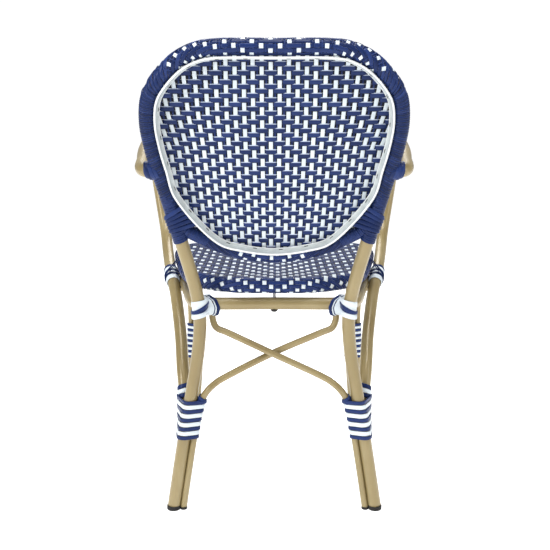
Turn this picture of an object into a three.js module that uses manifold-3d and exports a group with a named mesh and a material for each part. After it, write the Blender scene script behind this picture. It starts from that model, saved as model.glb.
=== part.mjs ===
// Woven bistro armchair: a bent tube frame with a strand-wound back, a woven seat and wound ankles.
// Millimetres, +Z up, the sitter faces +Y, the chair is symmetric left to right.
import * as THREE from 'three';
import { mergeVertices } from 'three/addons/utils/BufferGeometryUtils.js';
import Module from 'manifold-3d';

const wasm = await Module();
wasm.setup();

// Tubes and clearances
const mainTube = 25;
const ringTube = 24;
const thinTube = 13;
const lowerRailTube = 19;
const seatFrameTube = 22;
const clearance = 0.3;

// Rear legs and hoop of the back
const footSpan = 394;
const waistSpan = 283;
const hoopSpan = 439;
const waistHeight = 375;
const hoopHeight = 868;
const legSplay = 29;
const reclineLead = 17;
const reclineBlend = 80;
const reclineDegrees = 15.3;

// Ring of tube under the seat
const ringHeight = 399.5;
const ringBack = -187.5;
const ringRearStraight = 130;
const ringCornerRadius = 32;
const ringHalfWidth = 215.5;
const ringFront = 243;

// Woven seat
const seatTop = 452;
const seatRoll = 33;
const seatHalfWidth = 215.5;
const seatBack = -186;
const seatFront = 243;
const seatSag = 9;
const fabricThickness = 4;

// Woven back
const wrapThickness = 2.2;
const railSag = 59;
const railEndHeight = 556;
const panelThickness = 5;
const ribPitch = 27;
const ribWidth = 9;
const ribDepth = 1.6;
const ribShare = 0.88;
const bandWidth = 18;
const bandThickness = 3;
const bandTiltDegrees = 66;

// Arms
const armHeight = 700;
const armSpan = 550;
const armFront = 222;
const armJointShare = 0.33;
const armEndHeight = 152;

// Front legs and side braces
const frontLegSpan = 372;
const frontLegSplay = 16;
const frontLegForwardSplay = 13;
const braceGap = 1.5;
const braceBend = 300;

// Cross brace behind the seat
const crossTopInset = 22.5;
const crossHeight = 302;
const crossBack = -196;
const crossBow = 30;

// Feet, bolts and caps
const footHeight = 12;
const footLip = 0.5;
const thinFootHeight = 5;
const boltDiameter = 6;
const capDiameter = 14;
const capHeight = 4;
const capCrown = 0.6;
const sideBoltBack = 110;

// Strand windings: widths across the strand, thickness and the heights they cover
const strandThickness = 2.4;
const rearAnkleBottom = 140;
const rearAnkleBlue = 7.3;
const rearAnkleWhite = 8.3;
const rearAnkleBlueTurns = 4.5;
const frontAnkleBottom = 168;
const frontAnkleStrand = 5.9;
const frontAnkleBlueTurns = 6.5;
const strandGap = 0.8;
const strandCrown = 0.8;

// Lashings that tie the ring to the legs and to the arms
const lashingThickness = 2.6;
const lashingBottom = 377;
const lashingTop = 417.5;
const armLashingLength = 22;
const armLashingBack = 28;

// Counts of flats and steps
const tubeSides = 9;
const thinSides = 8;
const stepsPerSpan = 2;
const armJointWrapStart = 0.25;
const armJointWrapEnd = 1;
const rearAnkleSteps = 14;
const frontAnkleSteps = 10;
const footSides = 14;
const boltSides = 8;
const lashingSides = 7;

const tubeRadius = mainTube / 2;
const ringRadius = ringTube / 2;
const thinRadius = thinTube / 2;
const wrapRadius = tubeRadius + clearance + wrapThickness;
const lowerRailRadius = lowerRailTube / 2;
const lowerWrapRadius = lowerRailRadius + clearance + wrapThickness;
const reclineAngle = THREE.MathUtils.degToRad(reclineDegrees);
const waistHalf = waistSpan / 2;
const hoopHalf = hoopSpan / 2;
const footHalf = footSpan / 2;
const crossTopHalf = waistHalf - crossTopInset;

// The back starts to lean, and is fully leaned a little below its lower rail
const railMiddleHeight = railEndHeight - railSag;
const reclineStart = railMiddleHeight - reclineLead - reclineBlend;
const hoopRise = hoopHeight - railEndHeight;
const armJointHeight = railEndHeight + hoopRise * armJointShare;

// The waist of each rear leg touches the rear corner of the ring under the seat
const cornerReach = ringCornerRadius + ringRadius + tubeRadius + 2 * clearance;
const waistOut = Math.max(0, waistHalf - ringRearStraight);
const waistBack = ringBack + ringCornerRadius - Math.sqrt(cornerReach ** 2 - waistOut ** 2);

const paint = { color: 0xb29f72, roughness: 0.45, metalness: 0.3 };
const navyStrand = { color: 0x2c3c78, roughness: 0.5, metalness: 0 };
const whiteStrand = { color: 0xe9edf2, roughness: 0.45, metalness: 0 };
const bandPlastic = { color: 0xcdd0cc, roughness: 0.55, metalness: 0 };
const rubber = { color: 0x1b1b1c, roughness: 0.8, metalness: 0 };
const steel = { color: 0xb8bcc0, roughness: 0.35, metalness: 0.9 };

const chair = new THREE.Group();

function vec(x, y, z) {
  return new THREE.Vector3(x, y, z);
}

// Signed volume of a closed triangle mesh
function signedVolume(geometry) {
  const position = geometry.attributes.position;
  const index = geometry.index.array;
  const corner = [vec(0, 0, 0), vec(0, 0, 0), vec(0, 0, 0)];
  let total = 0;
  for (let i = 0; i < index.length; i += 3) {
    corner.forEach((point, k) => point.fromBufferAttribute(position, index[i + k]));
    total += corner[0].dot(corner[1].cross(corner[2]));
  }
  return total;
}

// A closed geometry with shared vertices and its faces pointing out
function closed(geometry) {
  const bare = geometry.clone();
  bare.deleteAttribute('normal');
  bare.deleteAttribute('uv');
  const welded = mergeVertices(bare);
  if (signedVolume(welded) < 0) {
    const index = welded.index.array;
    for (let i = 0; i < index.length; i += 3) {
      const kept = index[i];
      index[i] = index[i + 1];
      index[i + 1] = kept;
    }
  }
  return welded;
}

function toSolid(geometry) {
  const welded = closed(geometry);
  const vertProperties = new Float32Array(welded.attributes.position.array);
  const triVerts = new Uint32Array(welded.index.array);
  return new wasm.Manifold(new wasm.Mesh({ numProp: 3, vertProperties, triVerts }));
}

function toGeometry(solid) {
  const mesh = solid.getMesh();
  const geometry = new THREE.BufferGeometry();
  geometry.setAttribute('position', new THREE.BufferAttribute(new Float32Array(mesh.vertProperties), 3));
  geometry.setIndex(new THREE.BufferAttribute(new Uint32Array(mesh.triVerts), 1));
  return geometry;
}

function cut(geometry, ...cutters) {
  return toGeometry(cutters.reduce((left, cutter) => left.subtract(toSolid(cutter)), toSolid(geometry)));
}

function mirrored(geometry) {
  return closed(geometry.clone().applyMatrix4(new THREE.Matrix4().makeScale(-1, 1, 1)));
}

function add(name, geometry, look) {
  const shape = closed(geometry);
  shape.computeVertexNormals();
  const mesh = new THREE.Mesh(shape, new THREE.MeshStandardMaterial(look));
  mesh.name = name;
  chair.add(mesh);
}

// The same piece on both sides, drawn for the right and mirrored to the left
function addPair(name, geometry, look) {
  add(`${name}_right`, geometry, look);
  add(`${name}_left`, mirrored(geometry), look);
}

// A stretch of a curve, stepped evenly between its points, so sleeves share the steps of their tube
class Stretch extends THREE.Curve {
  constructor(curve, from = 0, to = 1) {
    super();
    this.curve = curve;
    this.from = from;
    this.to = to;
  }

  getPoint(share) {
    return this.curve.getPoint(this.from + (this.to - this.from) * share);
  }

  getPointAt(share) {
    return this.getPoint(share);
  }

  getTangentAt(share) {
    return this.getTangent(share);
  }

  getSpacedPoints(steps) {
    return this.getPoints(steps);
  }
}

// The straight chords that a stepped curve is drawn with
class Chords extends THREE.Curve {
  constructor(curve) {
    super();
    this.curve = curve;
    this.steps = (curve.points.length - 1) * stepsPerSpan;
  }

  getPoint(share) {
    const place = share * this.steps;
    const start = Math.min(Math.floor(place), this.steps - 1);
    const next = this.curve.getPoint((start + 1) / this.steps);
    return this.curve.getPoint(start / this.steps).lerp(next, place - start);
  }
}

function smooth(points, isClosed = false) {
  return new THREE.CatmullRomCurve3(points, isClosed, 'centripetal');
}

// Radius at the corners of a cutter or bore whose flats clear a round of the given radius
function clearRadius(radius, sides = tubeSides) {
  return (radius + clearance) / Math.cos(Math.PI / sides);
}

// Radius at the corners of a cutter that is stepped like its tube and lies just outside it
function snugRadius(radius, sides = tubeSides) {
  return radius + clearance / Math.cos(Math.PI / sides);
}

function roundSection(radius, sides, bore = 0) {
  const ring = (size) => Array.from({ length: sides }, (_, i) => {
    const angle = (2 * Math.PI * i) / sides;
    return new THREE.Vector2(size * Math.cos(angle), size * Math.sin(angle));
  });
  const section = new THREE.Shape(ring(radius));
  if (bore > 0) section.holes.push(new THREE.Path(ring(bore).reverse()));
  return section;
}

function tubeAlong(path, radius, steps, sides = tubeSides, bore = 0) {
  return new THREE.ExtrudeGeometry(roundSection(radius, sides, bore), { steps, extrudePath: path });
}

// Skin over rings of points: closed on itself, or ended by a fan to a pole at each end
function skin(rings, poles) {
  const count = rings[0].length;
  const places = rings.flat();
  const index = [];
  const spans = poles ? rings.length - 1 : rings.length;
  for (let i = 0; i < spans; i += 1) {
    const near = i * count;
    const far = ((i + 1) % rings.length) * count;
    for (let k = 0; k < count; k += 1) {
      const side = (k + 1) % count;
      index.push(near + k, far + k, far + side);
      index.push(near + k, far + side, near + side);
    }
  }
  if (poles) {
    const [first, last] = poles.map((pole) => places.push(pole) - 1);
    const start = spans * count;
    for (let k = 0; k < count; k += 1) {
      const side = (k + 1) % count;
      index.push(first, k, side);
      index.push(last, start + side, start + k);
    }
  }
  const geometry = new THREE.BufferGeometry().setFromPoints(places);
  geometry.setIndex(index);
  return geometry;
}

// A section swept round a closed row of stations: section points are [outward, up]
function sweepRound(stations, frames, section) {
  return skin(stations.map((station, i) => section.map(([out, up]) => (
    station.clone().addScaledVector(frames[i].out, out).addScaledVector(frames[i].up, up)
  ))));
}

function alongAt(stations, i) {
  const before = stations[(i + stations.length - 1) % stations.length];
  const after = stations[(i + 1) % stations.length];
  return after.clone().sub(before).normalize();
}

function levelFrames(stations) {
  const up = vec(0, 0, 1);
  return stations.map((_, i) => ({ out: alongAt(stations, i).cross(up).normalize(), up }));
}

function circlePoints(radius, sides = tubeSides) {
  return Array.from({ length: sides }, (_, i) => {
    const angle = (2 * Math.PI * i) / sides;
    return [radius * Math.cos(angle), radius * Math.sin(angle)];
  });
}

// A whole loop from its right half, which runs from one point of the middle plane to the other
function wholeLoop(half) {
  const left = half.slice(1, -1).map((point) => vec(-point.x, point.y, point.z)).reverse();
  return [...half, ...left];
}

function stationsOf(half) {
  const points = wholeLoop(half);
  const count = points.length * stepsPerSpan;
  const curve = smooth(points, true);
  return Array.from({ length: count }, (_, i) => curve.getPoint(i / count));
}

// Upright round post
function post(radius, bottom, top, spot, sides) {
  const height = top - bottom;
  return new THREE.CylinderGeometry(radius, radius, height, sides)
    .rotateX(Math.PI / 2)
    .translate(spot.x, spot.y, bottom + height / 2);
}

// Block below a height, wider than the chair
function floorBlock(height) {
  const width = 2 * armSpan;
  return new THREE.BoxGeometry(width, width, width).translate(0, 0, height - width / 2);
}

// Side line of the rear legs and back: how far back the frame stands at a height
function frameBack(height) {
  if (height < waistHeight) {
    const drop = (waistHeight - height) / waistHeight;
    return waistBack - legSplay * drop ** 2;
  }
  const rise = Math.max(0, height - reclineStart);
  const leaned = rise < reclineBlend ? rise ** 2 / (2 * reclineBlend) : rise - reclineBlend / 2;
  return waistBack - Math.tan(reclineAngle) * leaned;
}

// Directions of the leaned plane of the back
const backUp = vec(0, -Math.sin(reclineAngle), Math.cos(reclineAngle));
const backRear = vec(0, -Math.cos(reclineAngle), -Math.sin(reclineAngle));

// A place on the plane of the back, set towards the rear by an offset
function onBack(x, height, rear = 0) {
  return vec(x, frameBack(height), height).addScaledVector(backRear, rear);
}

// Leg: share of the spread from waist to foot, share of the waist's height
const legShares = [[1, 0], [0.61, 0.371], [0.36, 0.581], [0.07, 0.84], [0, 1]];

// Side of the back: share of the spread from waist to hoop, share of the rise to the lower rail's end
const lowSideShares = [[0.06, 0.248], [0.37, 0.817], [0.468, 1]];

// Above the rail's end: share of the same spread, share of the rise to the hoop's top
const highSideShares = [
  [0.645, 0.18], [0.8, 0.324], [0.93, 0.461], [1, 0.605], [0.925, 0.741], [0.67, 0.84],
];

// Crown of the hoop: share of half the hoop's width, share of the same rise
const crownShares = [[0.759, 0.923], [0.631, 0.972], [0.5, 0.995]];

// Points along the frame's path, counted from the right foot
const railEndPoint = legShares.length + lowSideShares.length - 1;
const wrapStartPoint = railEndPoint - 1;
const bandCornerPoint = railEndPoint + 1;

function rightFramePoints() {
  const spread = hoopHalf - waistHalf;
  const legs = legShares.map(([share, rise]) => [
    waistHalf + (footHalf - waistHalf) * share, waistHeight * rise,
  ]);
  const low = lowSideShares.map(([share, rise]) => [
    waistHalf + spread * share, waistHeight + (railEndHeight - waistHeight) * rise,
  ]);
  const high = highSideShares.map(([share, rise]) => [
    waistHalf + spread * share, railEndHeight + hoopRise * rise,
  ]);
  const crown = crownShares.map(([half, rise]) => [hoopHalf * half, railEndHeight + hoopRise * rise]);
  return [...legs, ...low, ...high, ...crown].map(([x, z]) => vec(x, frameBack(z), z));
}

const rightFrame = rightFramePoints();
const leftFrame = rightFrame.map((point) => vec(-point.x, point.y, point.z)).reverse();
const framePath = smooth([...rightFrame, vec(0, frameBack(hoopHeight), hoopHeight), ...leftFrame]);
const frameSpans = framePath.points.length - 1;
const frameTube = tubeAlong(new Stretch(framePath), tubeRadius, frameSpans * stepsPerSpan);
const frameCutter = tubeAlong(new Stretch(framePath), snugRadius(tubeRadius), frameSpans * stepsPerSpan);

// The winding of the hoop starts below the lower rail's end and runs round to the other side
const wrapStretch = new Stretch(framePath, wrapStartPoint / frameSpans, 1 - wrapStartPoint / frameSpans);
const wrapSteps = (frameSpans - 2 * wrapStartPoint) * stepsPerSpan;
const hoopSleeve = tubeAlong(wrapStretch, wrapRadius, wrapSteps, tubeSides, clearRadius(tubeRadius));
const hoopCutter = tubeAlong(wrapStretch, snugRadius(wrapRadius), wrapSteps);

// Share of a path where one coordinate has a value, searched between two shares
function shareWhere(path, axis, value, from, to) {
  const rising = path.getPoint(to)[axis] > path.getPoint(from)[axis];
  let low = from;
  let high = to;
  while (high - low > 1e-6) {
    const middle = (low + high) / 2;
    if ((path.getPoint(middle)[axis] < value) === rising) low = middle;
    else high = middle;
  }
  return low;
}

const topShare = 0.5;

function frameAtHeight(height) {
  return framePath.getPoint(shareWhere(framePath, 'z', height, 0, topShare));
}

// Lower rail of the back, hanging in a bow between the posts
const railShares = [[0.96, 0.94], [0.82, 0.7], [0.6, 0.37], [0.36, 0.13], [0, 0]];
const railEnd = framePath.points[railEndPoint];

function lowerRailPoints() {
  const half = railShares.map(([across, rise]) => {
    const height = railEndHeight - railSag * (1 - rise);
    return onBack(railEnd.x * across, height, lowerWrapRadius - wrapRadius);
  });
  const left = half.slice(0, -1).map((point) => vec(-point.x, point.y, point.z)).reverse();
  return [...half, ...left];
}

const lowerRailPath = smooth(lowerRailPoints());
const lowerRailSteps = (lowerRailPath.points.length - 1) * stepsPerSpan;

function backLowerRail() {
  const tube = tubeAlong(new Stretch(lowerRailPath), lowerRailRadius, lowerRailSteps, thinSides);
  return cut(tube, frameCutter);
}

function lowerRailWrap() {
  const bore = clearRadius(lowerRailRadius, thinSides);
  const sleeve = tubeAlong(new Stretch(lowerRailPath), lowerWrapRadius, lowerRailSteps, thinSides, bore);
  return cut(sleeve, hoopCutter, frameCutter);
}

// Ring of tube under the seat. Side: shares of the way from the end of the rear corner to the front
const ringSideShares = [
  [0.187, 0.139], [0.664, 0.503], [0.86, 0.666], [0.98, 0.804],
  [1, 0.842], [0.916, 0.905], [0.636, 0.962], [0.15, 0.995],
];

function ringHalf() {
  const cornerX = ringRearStraight + ringCornerRadius;
  const cornerY = ringBack + ringCornerRadius;
  const turned = ringCornerRadius * Math.SQRT1_2;
  const places = [
    [0, ringBack],
    [ringRearStraight, ringBack],
    [ringRearStraight + turned, cornerY - turned],
    [cornerX, cornerY],
  ];
  ringSideShares.forEach(([across, along]) => {
    places.push([cornerX + (ringHalfWidth - cornerX) * across, cornerY + (ringFront - cornerY) * along]);
  });
  places.push([ringRearStraight, ringFront], [0, ringFront]);
  return places.map(([x, y]) => vec(x, y, ringHeight));
}

const ringStations = stationsOf(ringHalf());
const ringFrames = levelFrames(ringStations);
const ringCutter = sweepRound(ringStations, ringFrames, circlePoints(snugRadius(ringRadius)));
const ringPath = smooth(wholeLoop(ringHalf()), true);

// The right side of the ring, between the end of the rear corner and the front corner
const ringSideStart = 4 / ringPath.points.length;
const ringSideEnd = 8 / ringPath.points.length;

// The rounded front corner on the right side
const ringCornerStart = 9 / ringPath.points.length;
const ringCornerEnd = 12 / ringPath.points.length;

function ringSideAt(y) {
  return ringPath.getPoint(shareWhere(ringPath, 'y', y, ringSideStart, ringSideEnd));
}

// Bolts that hold the seat on the ring: at the rear, at the front and at both sides
const boltSpots = {
  rear: vec(0, ringBack, 0),
  front: vec(0, ringFront, 0),
  right: ringSideAt(sideBoltBack),
  left: ringSideAt(sideBoltBack).multiply(vec(-1, 1, 1)),
};

const seatHeight = seatTop - seatRoll / 2;
const boltRadius = boltDiameter / 2;
const boltBottom = ringHeight - ringRadius + 3 * clearance;

function boltHoles(top) {
  const radius = clearRadius(boltRadius, boltSides);
  const bottom = ringHeight - 2 * ringRadius;
  return Object.values(boltSpots).map((spot) => post(radius, bottom, top, spot, boltSides));
}

function seatRail() {
  const ring = sweepRound(ringStations, ringFrames, circlePoints(ringRadius));
  return cut(ring, ...boltHoles(seatHeight));
}

// Seat: shares of half its width and of its depth, from the middle of the rear to that of the front
const seatShares = [
  [0, 0], [0.325, 0.005], [0.585, 0.068], [0.7655, 0.189], [0.849, 0.352], [0.9165, 0.538],
  [0.965, 0.69], [1, 0.853], [0.979, 0.911], [0.91, 0.965], [0.789, 0.995], [0.557, 1], [0, 1],
];

const seatStations = stationsOf(seatShares.map(([across, along]) => (
  vec(seatHalfWidth * across, seatBack + (seatFront - seatBack) * along, seatHeight)
)));
const seatFrames = levelFrames(seatStations);

function seatFrame() {
  const frame = sweepRound(seatStations, seatFrames, circlePoints(seatFrameTube / 2, thinSides));
  return cut(frame, ...boltHoles(seatHeight + clearance));
}

// The weave goes round the frame from its top, over the outside, to a slit on the inside
const rollDegrees = [90, 50, 10, -30, -70, -110, -150];
const boreDegrees = [-150, -90, -30, 30, 90];
const boreStep = boreDegrees[1] - boreDegrees[0];

// Panel of the seat: share of the way from the roll to the middle, share of the sag
const panelShares = [[0.25, 0.55], [0.6, 0.92]];

function rollRing(radius, degrees) {
  const angle = THREE.MathUtils.degToRad(degrees);
  return seatStations.map((station, i) => (
    station.clone()
      .addScaledVector(seatFrames[i].out, radius * Math.cos(angle))
      .addScaledVector(seatFrames[i].up, radius * Math.sin(angle))
  ));
}

function panelRing(inwards, sagShare, drop) {
  const height = seatTop - seatSag * sagShare - drop;
  const middle = vec(0, (seatBack + seatFront) / 2, height);
  return seatStations.map((station) => station.clone().lerp(middle, inwards).setZ(height));
}

function seatWeave() {
  const bore = (seatFrameTube / 2 + clearance) / Math.cos(THREE.MathUtils.degToRad(boreStep / 2));
  const panel = (drop) => panelShares.map(([inwards, sag]) => panelRing(inwards, sag, drop));
  const rings = [
    ...panel(0).reverse(),
    ...rollDegrees.map((degrees) => rollRing(seatRoll / 2, degrees)),
    ...boreDegrees.map((degrees) => rollRing(bore, degrees)),
    ...panel(fabricThickness),
  ];
  const poles = [panelRing(1, 1, 0)[0], panelRing(1, 1, fabricThickness)[0]];
  return cut(skin(rings, poles), ...boltHoles(seatHeight));
}

// Arms: one tube from the hoop, round the arm, down past the seat and back to the rear ankle.
// The start leaves the hoop sideways, by shares of the tube
const armLeadShares = [1.086, 0.355, 0.044];

// Upper run: shares of the way out, forward and up from the hoop to the arm's widest and highest
const upperArmShares = [
  [0.591, 0.198, 0.368], [0.747, 0.377, 0.659], [0.973, 0.776, 1.017],
];

// Front bend: shares of the same ways out and forward, share of the drop to the ring
const frontArmShares = [
  [1.016, 0.896, 0.026], [1.02, 0.972, 0.126], [1, 1, 0.3], [0.914, 0.994, 0.445],
];

// Lower run: shares of half the ring's width, of the ring's depth, of the ring's height
const lowerArmShares = [
  [1.065, 0.877, 1.224], [1, 0.714, 1.106], [0.93, 0.54, 1.031], [0.884, 0.447, 0.991],
  [0.84, 0.354, 0.931], [0.768, 0.185, 0.778], [0.731, 0.069, 0.647],
];

// Tail beside the rear leg: shares of the end height, sideways and forward shares of the tube
const armTailShares = [[1.45, 0.62, 1.32], [1.22, 0.34, 1.05], [1, 0.14, 1]];

function armPoints() {
  const joint = frameAtHeight(armJointHeight);
  const way = vec(armSpan / 2, armFront, armHeight).sub(joint);
  const drop = ringHeight - armHeight;
  const lead = vec(...armLeadShares).multiplyScalar(mainTube).add(joint);
  const upper = upperArmShares.map(([across, along, rise]) => (
    vec(across, along, rise).multiply(way).add(joint)
  ));
  const front = frontArmShares.map(([across, along, fall]) => (
    vec(across, along, 0).multiply(way).add(joint).setZ(armHeight + drop * fall)
  ));
  const side = ringRadius + tubeRadius + clearance;
  const depth = ringFront - ringBack;
  const lower = lowerArmShares.map(([across, along, rise]) => (
    vec(ringHalfWidth * across + side, ringBack + depth * along, ringHeight * rise)
  ));
  const tail = armTailShares.map(([rise, aside, ahead]) => {
    const leg = frameAtHeight(armEndHeight * rise);
    return leg.add(vec(mainTube * aside, (mainTube + 2 * clearance) * ahead, 0));
  });
  return [joint, lead, ...upper, ...front, ...lower, ...tail];
}

const armPath = smooth(armPoints());
const armSpans = armPath.points.length - 1;
const lowerArmStart = 2 + upperArmShares.length + frontArmShares.length;
const armTailStart = lowerArmStart + lowerArmShares.length;
const armTube = tubeAlong(new Stretch(armPath), tubeRadius, armSpans * stepsPerSpan);
const armCutter = tubeAlong(new Stretch(armPath), snugRadius(tubeRadius), armSpans * stepsPerSpan);

// Winding on the first stretch of the arm, beside the hoop
const armJointSteps = 3;
const armJointStretch = new Stretch(armPath, armJointWrapStart / armSpans, armJointWrapEnd / armSpans);
const armJointCutter = tubeAlong(armJointStretch, snugRadius(wrapRadius), armJointSteps);

function armJointWrap() {
  const bore = clearRadius(tubeRadius);
  return cut(tubeAlong(armJointStretch, wrapRadius, armJointSteps, tubeSides, bore), hoopCutter);
}

function hoopWrap() {
  const radius = snugRadius(lowerRailRadius, thinSides);
  const railCutter = tubeAlong(new Stretch(lowerRailPath), radius, lowerRailSteps, thinSides);
  return cut(hoopSleeve, railCutter, armCutter, mirrored(armCutter));
}

// Pale flat band that lines the opening of the back, inside the hoop and along the lower rail
const bandTilt = THREE.MathUtils.degToRad(bandTiltDegrees);
const bandRailPoint = 2;

// Towards the middle of the opening, for a path that runs up the right side
function inwardOf(path, share) {
  return backRear.clone().cross(path.getTangent(share)).normalize();
}

function bandPlace(place, inward, radius) {
  const reach = clearRadius(radius) + clearance + bandThickness / 2;
  return place.addScaledVector(inward, reach * Math.sin(bandTilt))
    .addScaledVector(backRear, reach * Math.cos(bandTilt));
}

// Points of the band from the crown of the hoop to the middle of the lower rail, right side
function rightBandPoints() {
  const points = [];
  for (let i = frameSpans / 2; i >= bandCornerPoint; i -= 1) {
    const share = i / frameSpans;
    points.push(bandPlace(framePath.getPoint(share), inwardOf(framePath, share), wrapRadius));
  }
  const railSpans = lowerRailPath.points.length - 1;
  for (let i = bandRailPoint; i <= railSpans / 2; i += 1) {
    const share = i / railSpans;
    const inward = inwardOf(lowerRailPath, share).negate();
    points.push(bandPlace(lowerRailPath.getPoint(share), inward, lowerWrapRadius));
  }
  return points;
}

function borderBand() {
  const stations = stationsOf(rightBandPoints());
  const frames = stations.map((_, i) => {
    const inward = alongAt(stations, i).cross(backRear).normalize();
    const out = inward.clone().multiplyScalar(Math.sin(bandTilt))
      .addScaledVector(backRear, Math.cos(bandTilt));
    const up = backRear.clone().multiplyScalar(Math.sin(bandTilt))
      .addScaledVector(inward, -Math.cos(bandTilt));
    return { out, up };
  });
  const thick = bandThickness / 2;
  const wide = bandWidth / 2;
  return sweepRound(stations, frames, [[-thick, -wide], [thick, -wide], [thick, wide], [-thick, wide]]);
}

// Grooves between the upright ribs of the weave, inside a flat rim: a slab less its ribs
function weaveGrooves(outline, bottom) {
  const depth = 2 * ribDepth;
  const middle = new THREE.Box2().setFromPoints(outline).getCenter(new THREE.Vector2());
  const inner = outline.map((point) => point.clone().sub(middle).multiplyScalar(ribShare).add(middle));
  const slab = new THREE.ExtrudeGeometry(new THREE.Shape(inner), { depth, bevelEnabled: false });
  const last = Math.ceil(hoopHalf / ribPitch);
  const ribs = Array.from({ length: 2 * last + 1 }, (_, i) => (
    new THREE.BoxGeometry(ribWidth, 2 * hoopHeight, 2 * depth).translate((i - last) * ribPitch, 0, depth / 2)
  ));
  return cut(slab, ...ribs).translate(0, 0, bottom);
}

// Woven panel of the back, laid against the front of the hoop and the lower rail
function backWeave() {
  const origin = onBack(0, railMiddleHeight);
  const from = railEndPoint / frameSpans;
  const hoopSteps = (frameSpans - 2 * railEndPoint) * stepsPerSpan;
  const hoop = new Stretch(framePath, from, 1 - from).getPoints(hoopSteps);
  const rail = new Stretch(lowerRailPath).getPoints(lowerRailSteps).slice(1, -1).reverse();
  const outline = [...hoop, ...rail].map((point) => (
    new THREE.Vector2(point.x, point.clone().sub(origin).dot(backUp))
  ));
  const depth = panelThickness;
  const slab = new THREE.ExtrudeGeometry(new THREE.Shape(outline), { depth, bevelEnabled: false });
  const panel = cut(slab, weaveGrooves(outline, -ribDepth), weaveGrooves(outline, depth - ribDepth));
  origin.addScaledVector(backRear, -(wrapRadius + clearance + depth));
  panel.applyMatrix4(new THREE.Matrix4().makeBasis(vec(1, 0, 0), backUp, backRear).setPosition(origin));
  const cutters = [armCutter, armJointCutter];
  return cut(panel, ...cutters, ...cutters.map(mirrored));
}

// Front legs: upright from the ring, splayed towards the foot
const frontLegShares = [[0, 1], [0, 0.772], [0, 0.489], [0.42, 0.244], [1, 0]];
const frontHalf = frontLegSpan / 2;
const frontTop = ringPath.getPoint(shareWhere(ringPath, 'x', frontHalf, ringCornerStart, ringCornerEnd));

const frontLegPath = smooth(frontLegShares.map(([splay, rise]) => (
  vec(
    frontHalf + frontLegSplay * splay,
    frontTop.y + frontLegForwardSplay * splay,
    (ringHeight - ringRadius / 2) * rise,
  )
)));
const frontLegSteps = (frontLegShares.length - 1) * stepsPerSpan;

function frontLegAt(height) {
  return frontLegPath.getPoint(shareWhere(frontLegPath, 'z', height, 0, 1));
}

function frontLeg() {
  const tube = tubeAlong(new Stretch(frontLegPath), tubeRadius, frontLegSteps);
  return cut(tube, ringCutter, floorBlock(footHeight + clearance));
}

const besideLeg = tubeRadius + braceGap + thinRadius;

// Side braces. Upper run: shares of half the ring's width, of its depth and of its height
const sideBraceShares = [
  [0.951, 0.54, 0.953], [0.9745, 0.668, 0.941], [0.979, 0.784, 0.9086], [0.97, 0.877, 0.871],
  [0.963, 0.951, 0.8135],
];
const sideBraceFootShares = [1, 0.63, 0.3, 0];

function sideBracePoints() {
  const upper = sideBraceShares.map(([across, along, rise]) => (
    vec(ringHalfWidth * across, ringBack + (ringFront - ringBack) * along, ringHeight * rise)
  ));
  const lower = sideBraceFootShares.map((rise) => frontLegAt(braceBend * rise).add(vec(besideLeg, 0, 0)));
  return [...upper, ...lower];
}

const sideBracePath = smooth(sideBracePoints());

function thinTubeAlong(path) {
  const steps = (path.points.length - 1) * stepsPerSpan;
  return cut(
    tubeAlong(new Stretch(path), thinRadius, steps, thinSides),
    ringCutter,
    floorBlock(thinFootHeight + clearance),
  );
}

// Cross braces. Shares of half the upper width, of the bow behind the ring and of the ring's height
const crossUpperShares = [[1, 0, 0.985], [1, 0.017, 0.921], [0.941, 0.083, 0.881], [0.765, 0.18, 0.8586]];
const crossLowerShares = [
  [0.807, 0.65, 0.643], [0.916, 0.783, 0.626], [1.059, 1.017, 0.593], [1.164, 0.95, 0.5457],
];
const crossFootShares = [0.5, 0.37, 0.18, 0];

// From the ring on the left side, over the middle, to the floor beside the right leg
function crossBracePath(middleBack) {
  const place = (side) => ([across, bow, rise]) => (
    vec(side * crossTopHalf * across, ringBack - crossBow * bow, ringHeight * rise)
  );
  const foot = crossFootShares.map((rise) => {
    const leg = frameAtHeight(waistHeight * rise);
    return vec(leg.x - besideLeg, leg.y, leg.z);
  });
  return smooth([
    ...crossUpperShares.map(place(-1)),
    vec(0, middleBack, crossHeight),
    ...crossLowerShares.map(place(1)),
    ...foot,
  ]);
}

const crossHalfGap = (thinTube + clearance) / 2;
const frontCrossPath = crossBracePath(crossBack + crossHalfGap);
const rearCrossPath = crossBracePath(crossBack - crossHalfGap);

// Strands wound round the tubes of an ankle. A member is a tube with its centre line and radius
function memberAt(member, height) {
  const share = shareWhere(member.path, 'z', height, member.from, member.to);
  const along = member.path.getTangent(share);
  const centre = member.path.getPoint(share);
  return { centre, along, radius: member.radius / Math.abs(along.z) };
}

// How far the tubes reach from the leg's axis in a level direction, over the width of the strand
function bundleReach(members, direction, height, half) {
  const reaches = [-half, 0, half].flatMap((offset) => {
    const axis = memberAt(members[0], height + offset).centre;
    return members.filter((member) => height + half > member.bottom).map((member) => {
      const { centre, radius } = memberAt(member, height + offset);
      return centre.sub(axis).dot(direction) + radius;
    });
  });
  return Math.max(...reaches) + clearance;
}

function levelDirection(angle) {
  return vec(Math.cos(angle), Math.sin(angle), 0);
}

// Corner of the polygon that the strand draws round the tubes
function bundleCorner(members, angle, step, height, half) {
  const before = levelDirection(angle - step / 2);
  const after = levelDirection(angle + step / 2);
  const near = bundleReach(members, before, height, half);
  const far = bundleReach(members, after, height, half);
  const turned = Math.sin(step);
  const x = (near * after.y - far * before.y) / turned;
  const y = (before.x * far - after.x * near) / turned;
  return memberAt(members[0], height).centre.add(vec(x, y, 0));
}

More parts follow.
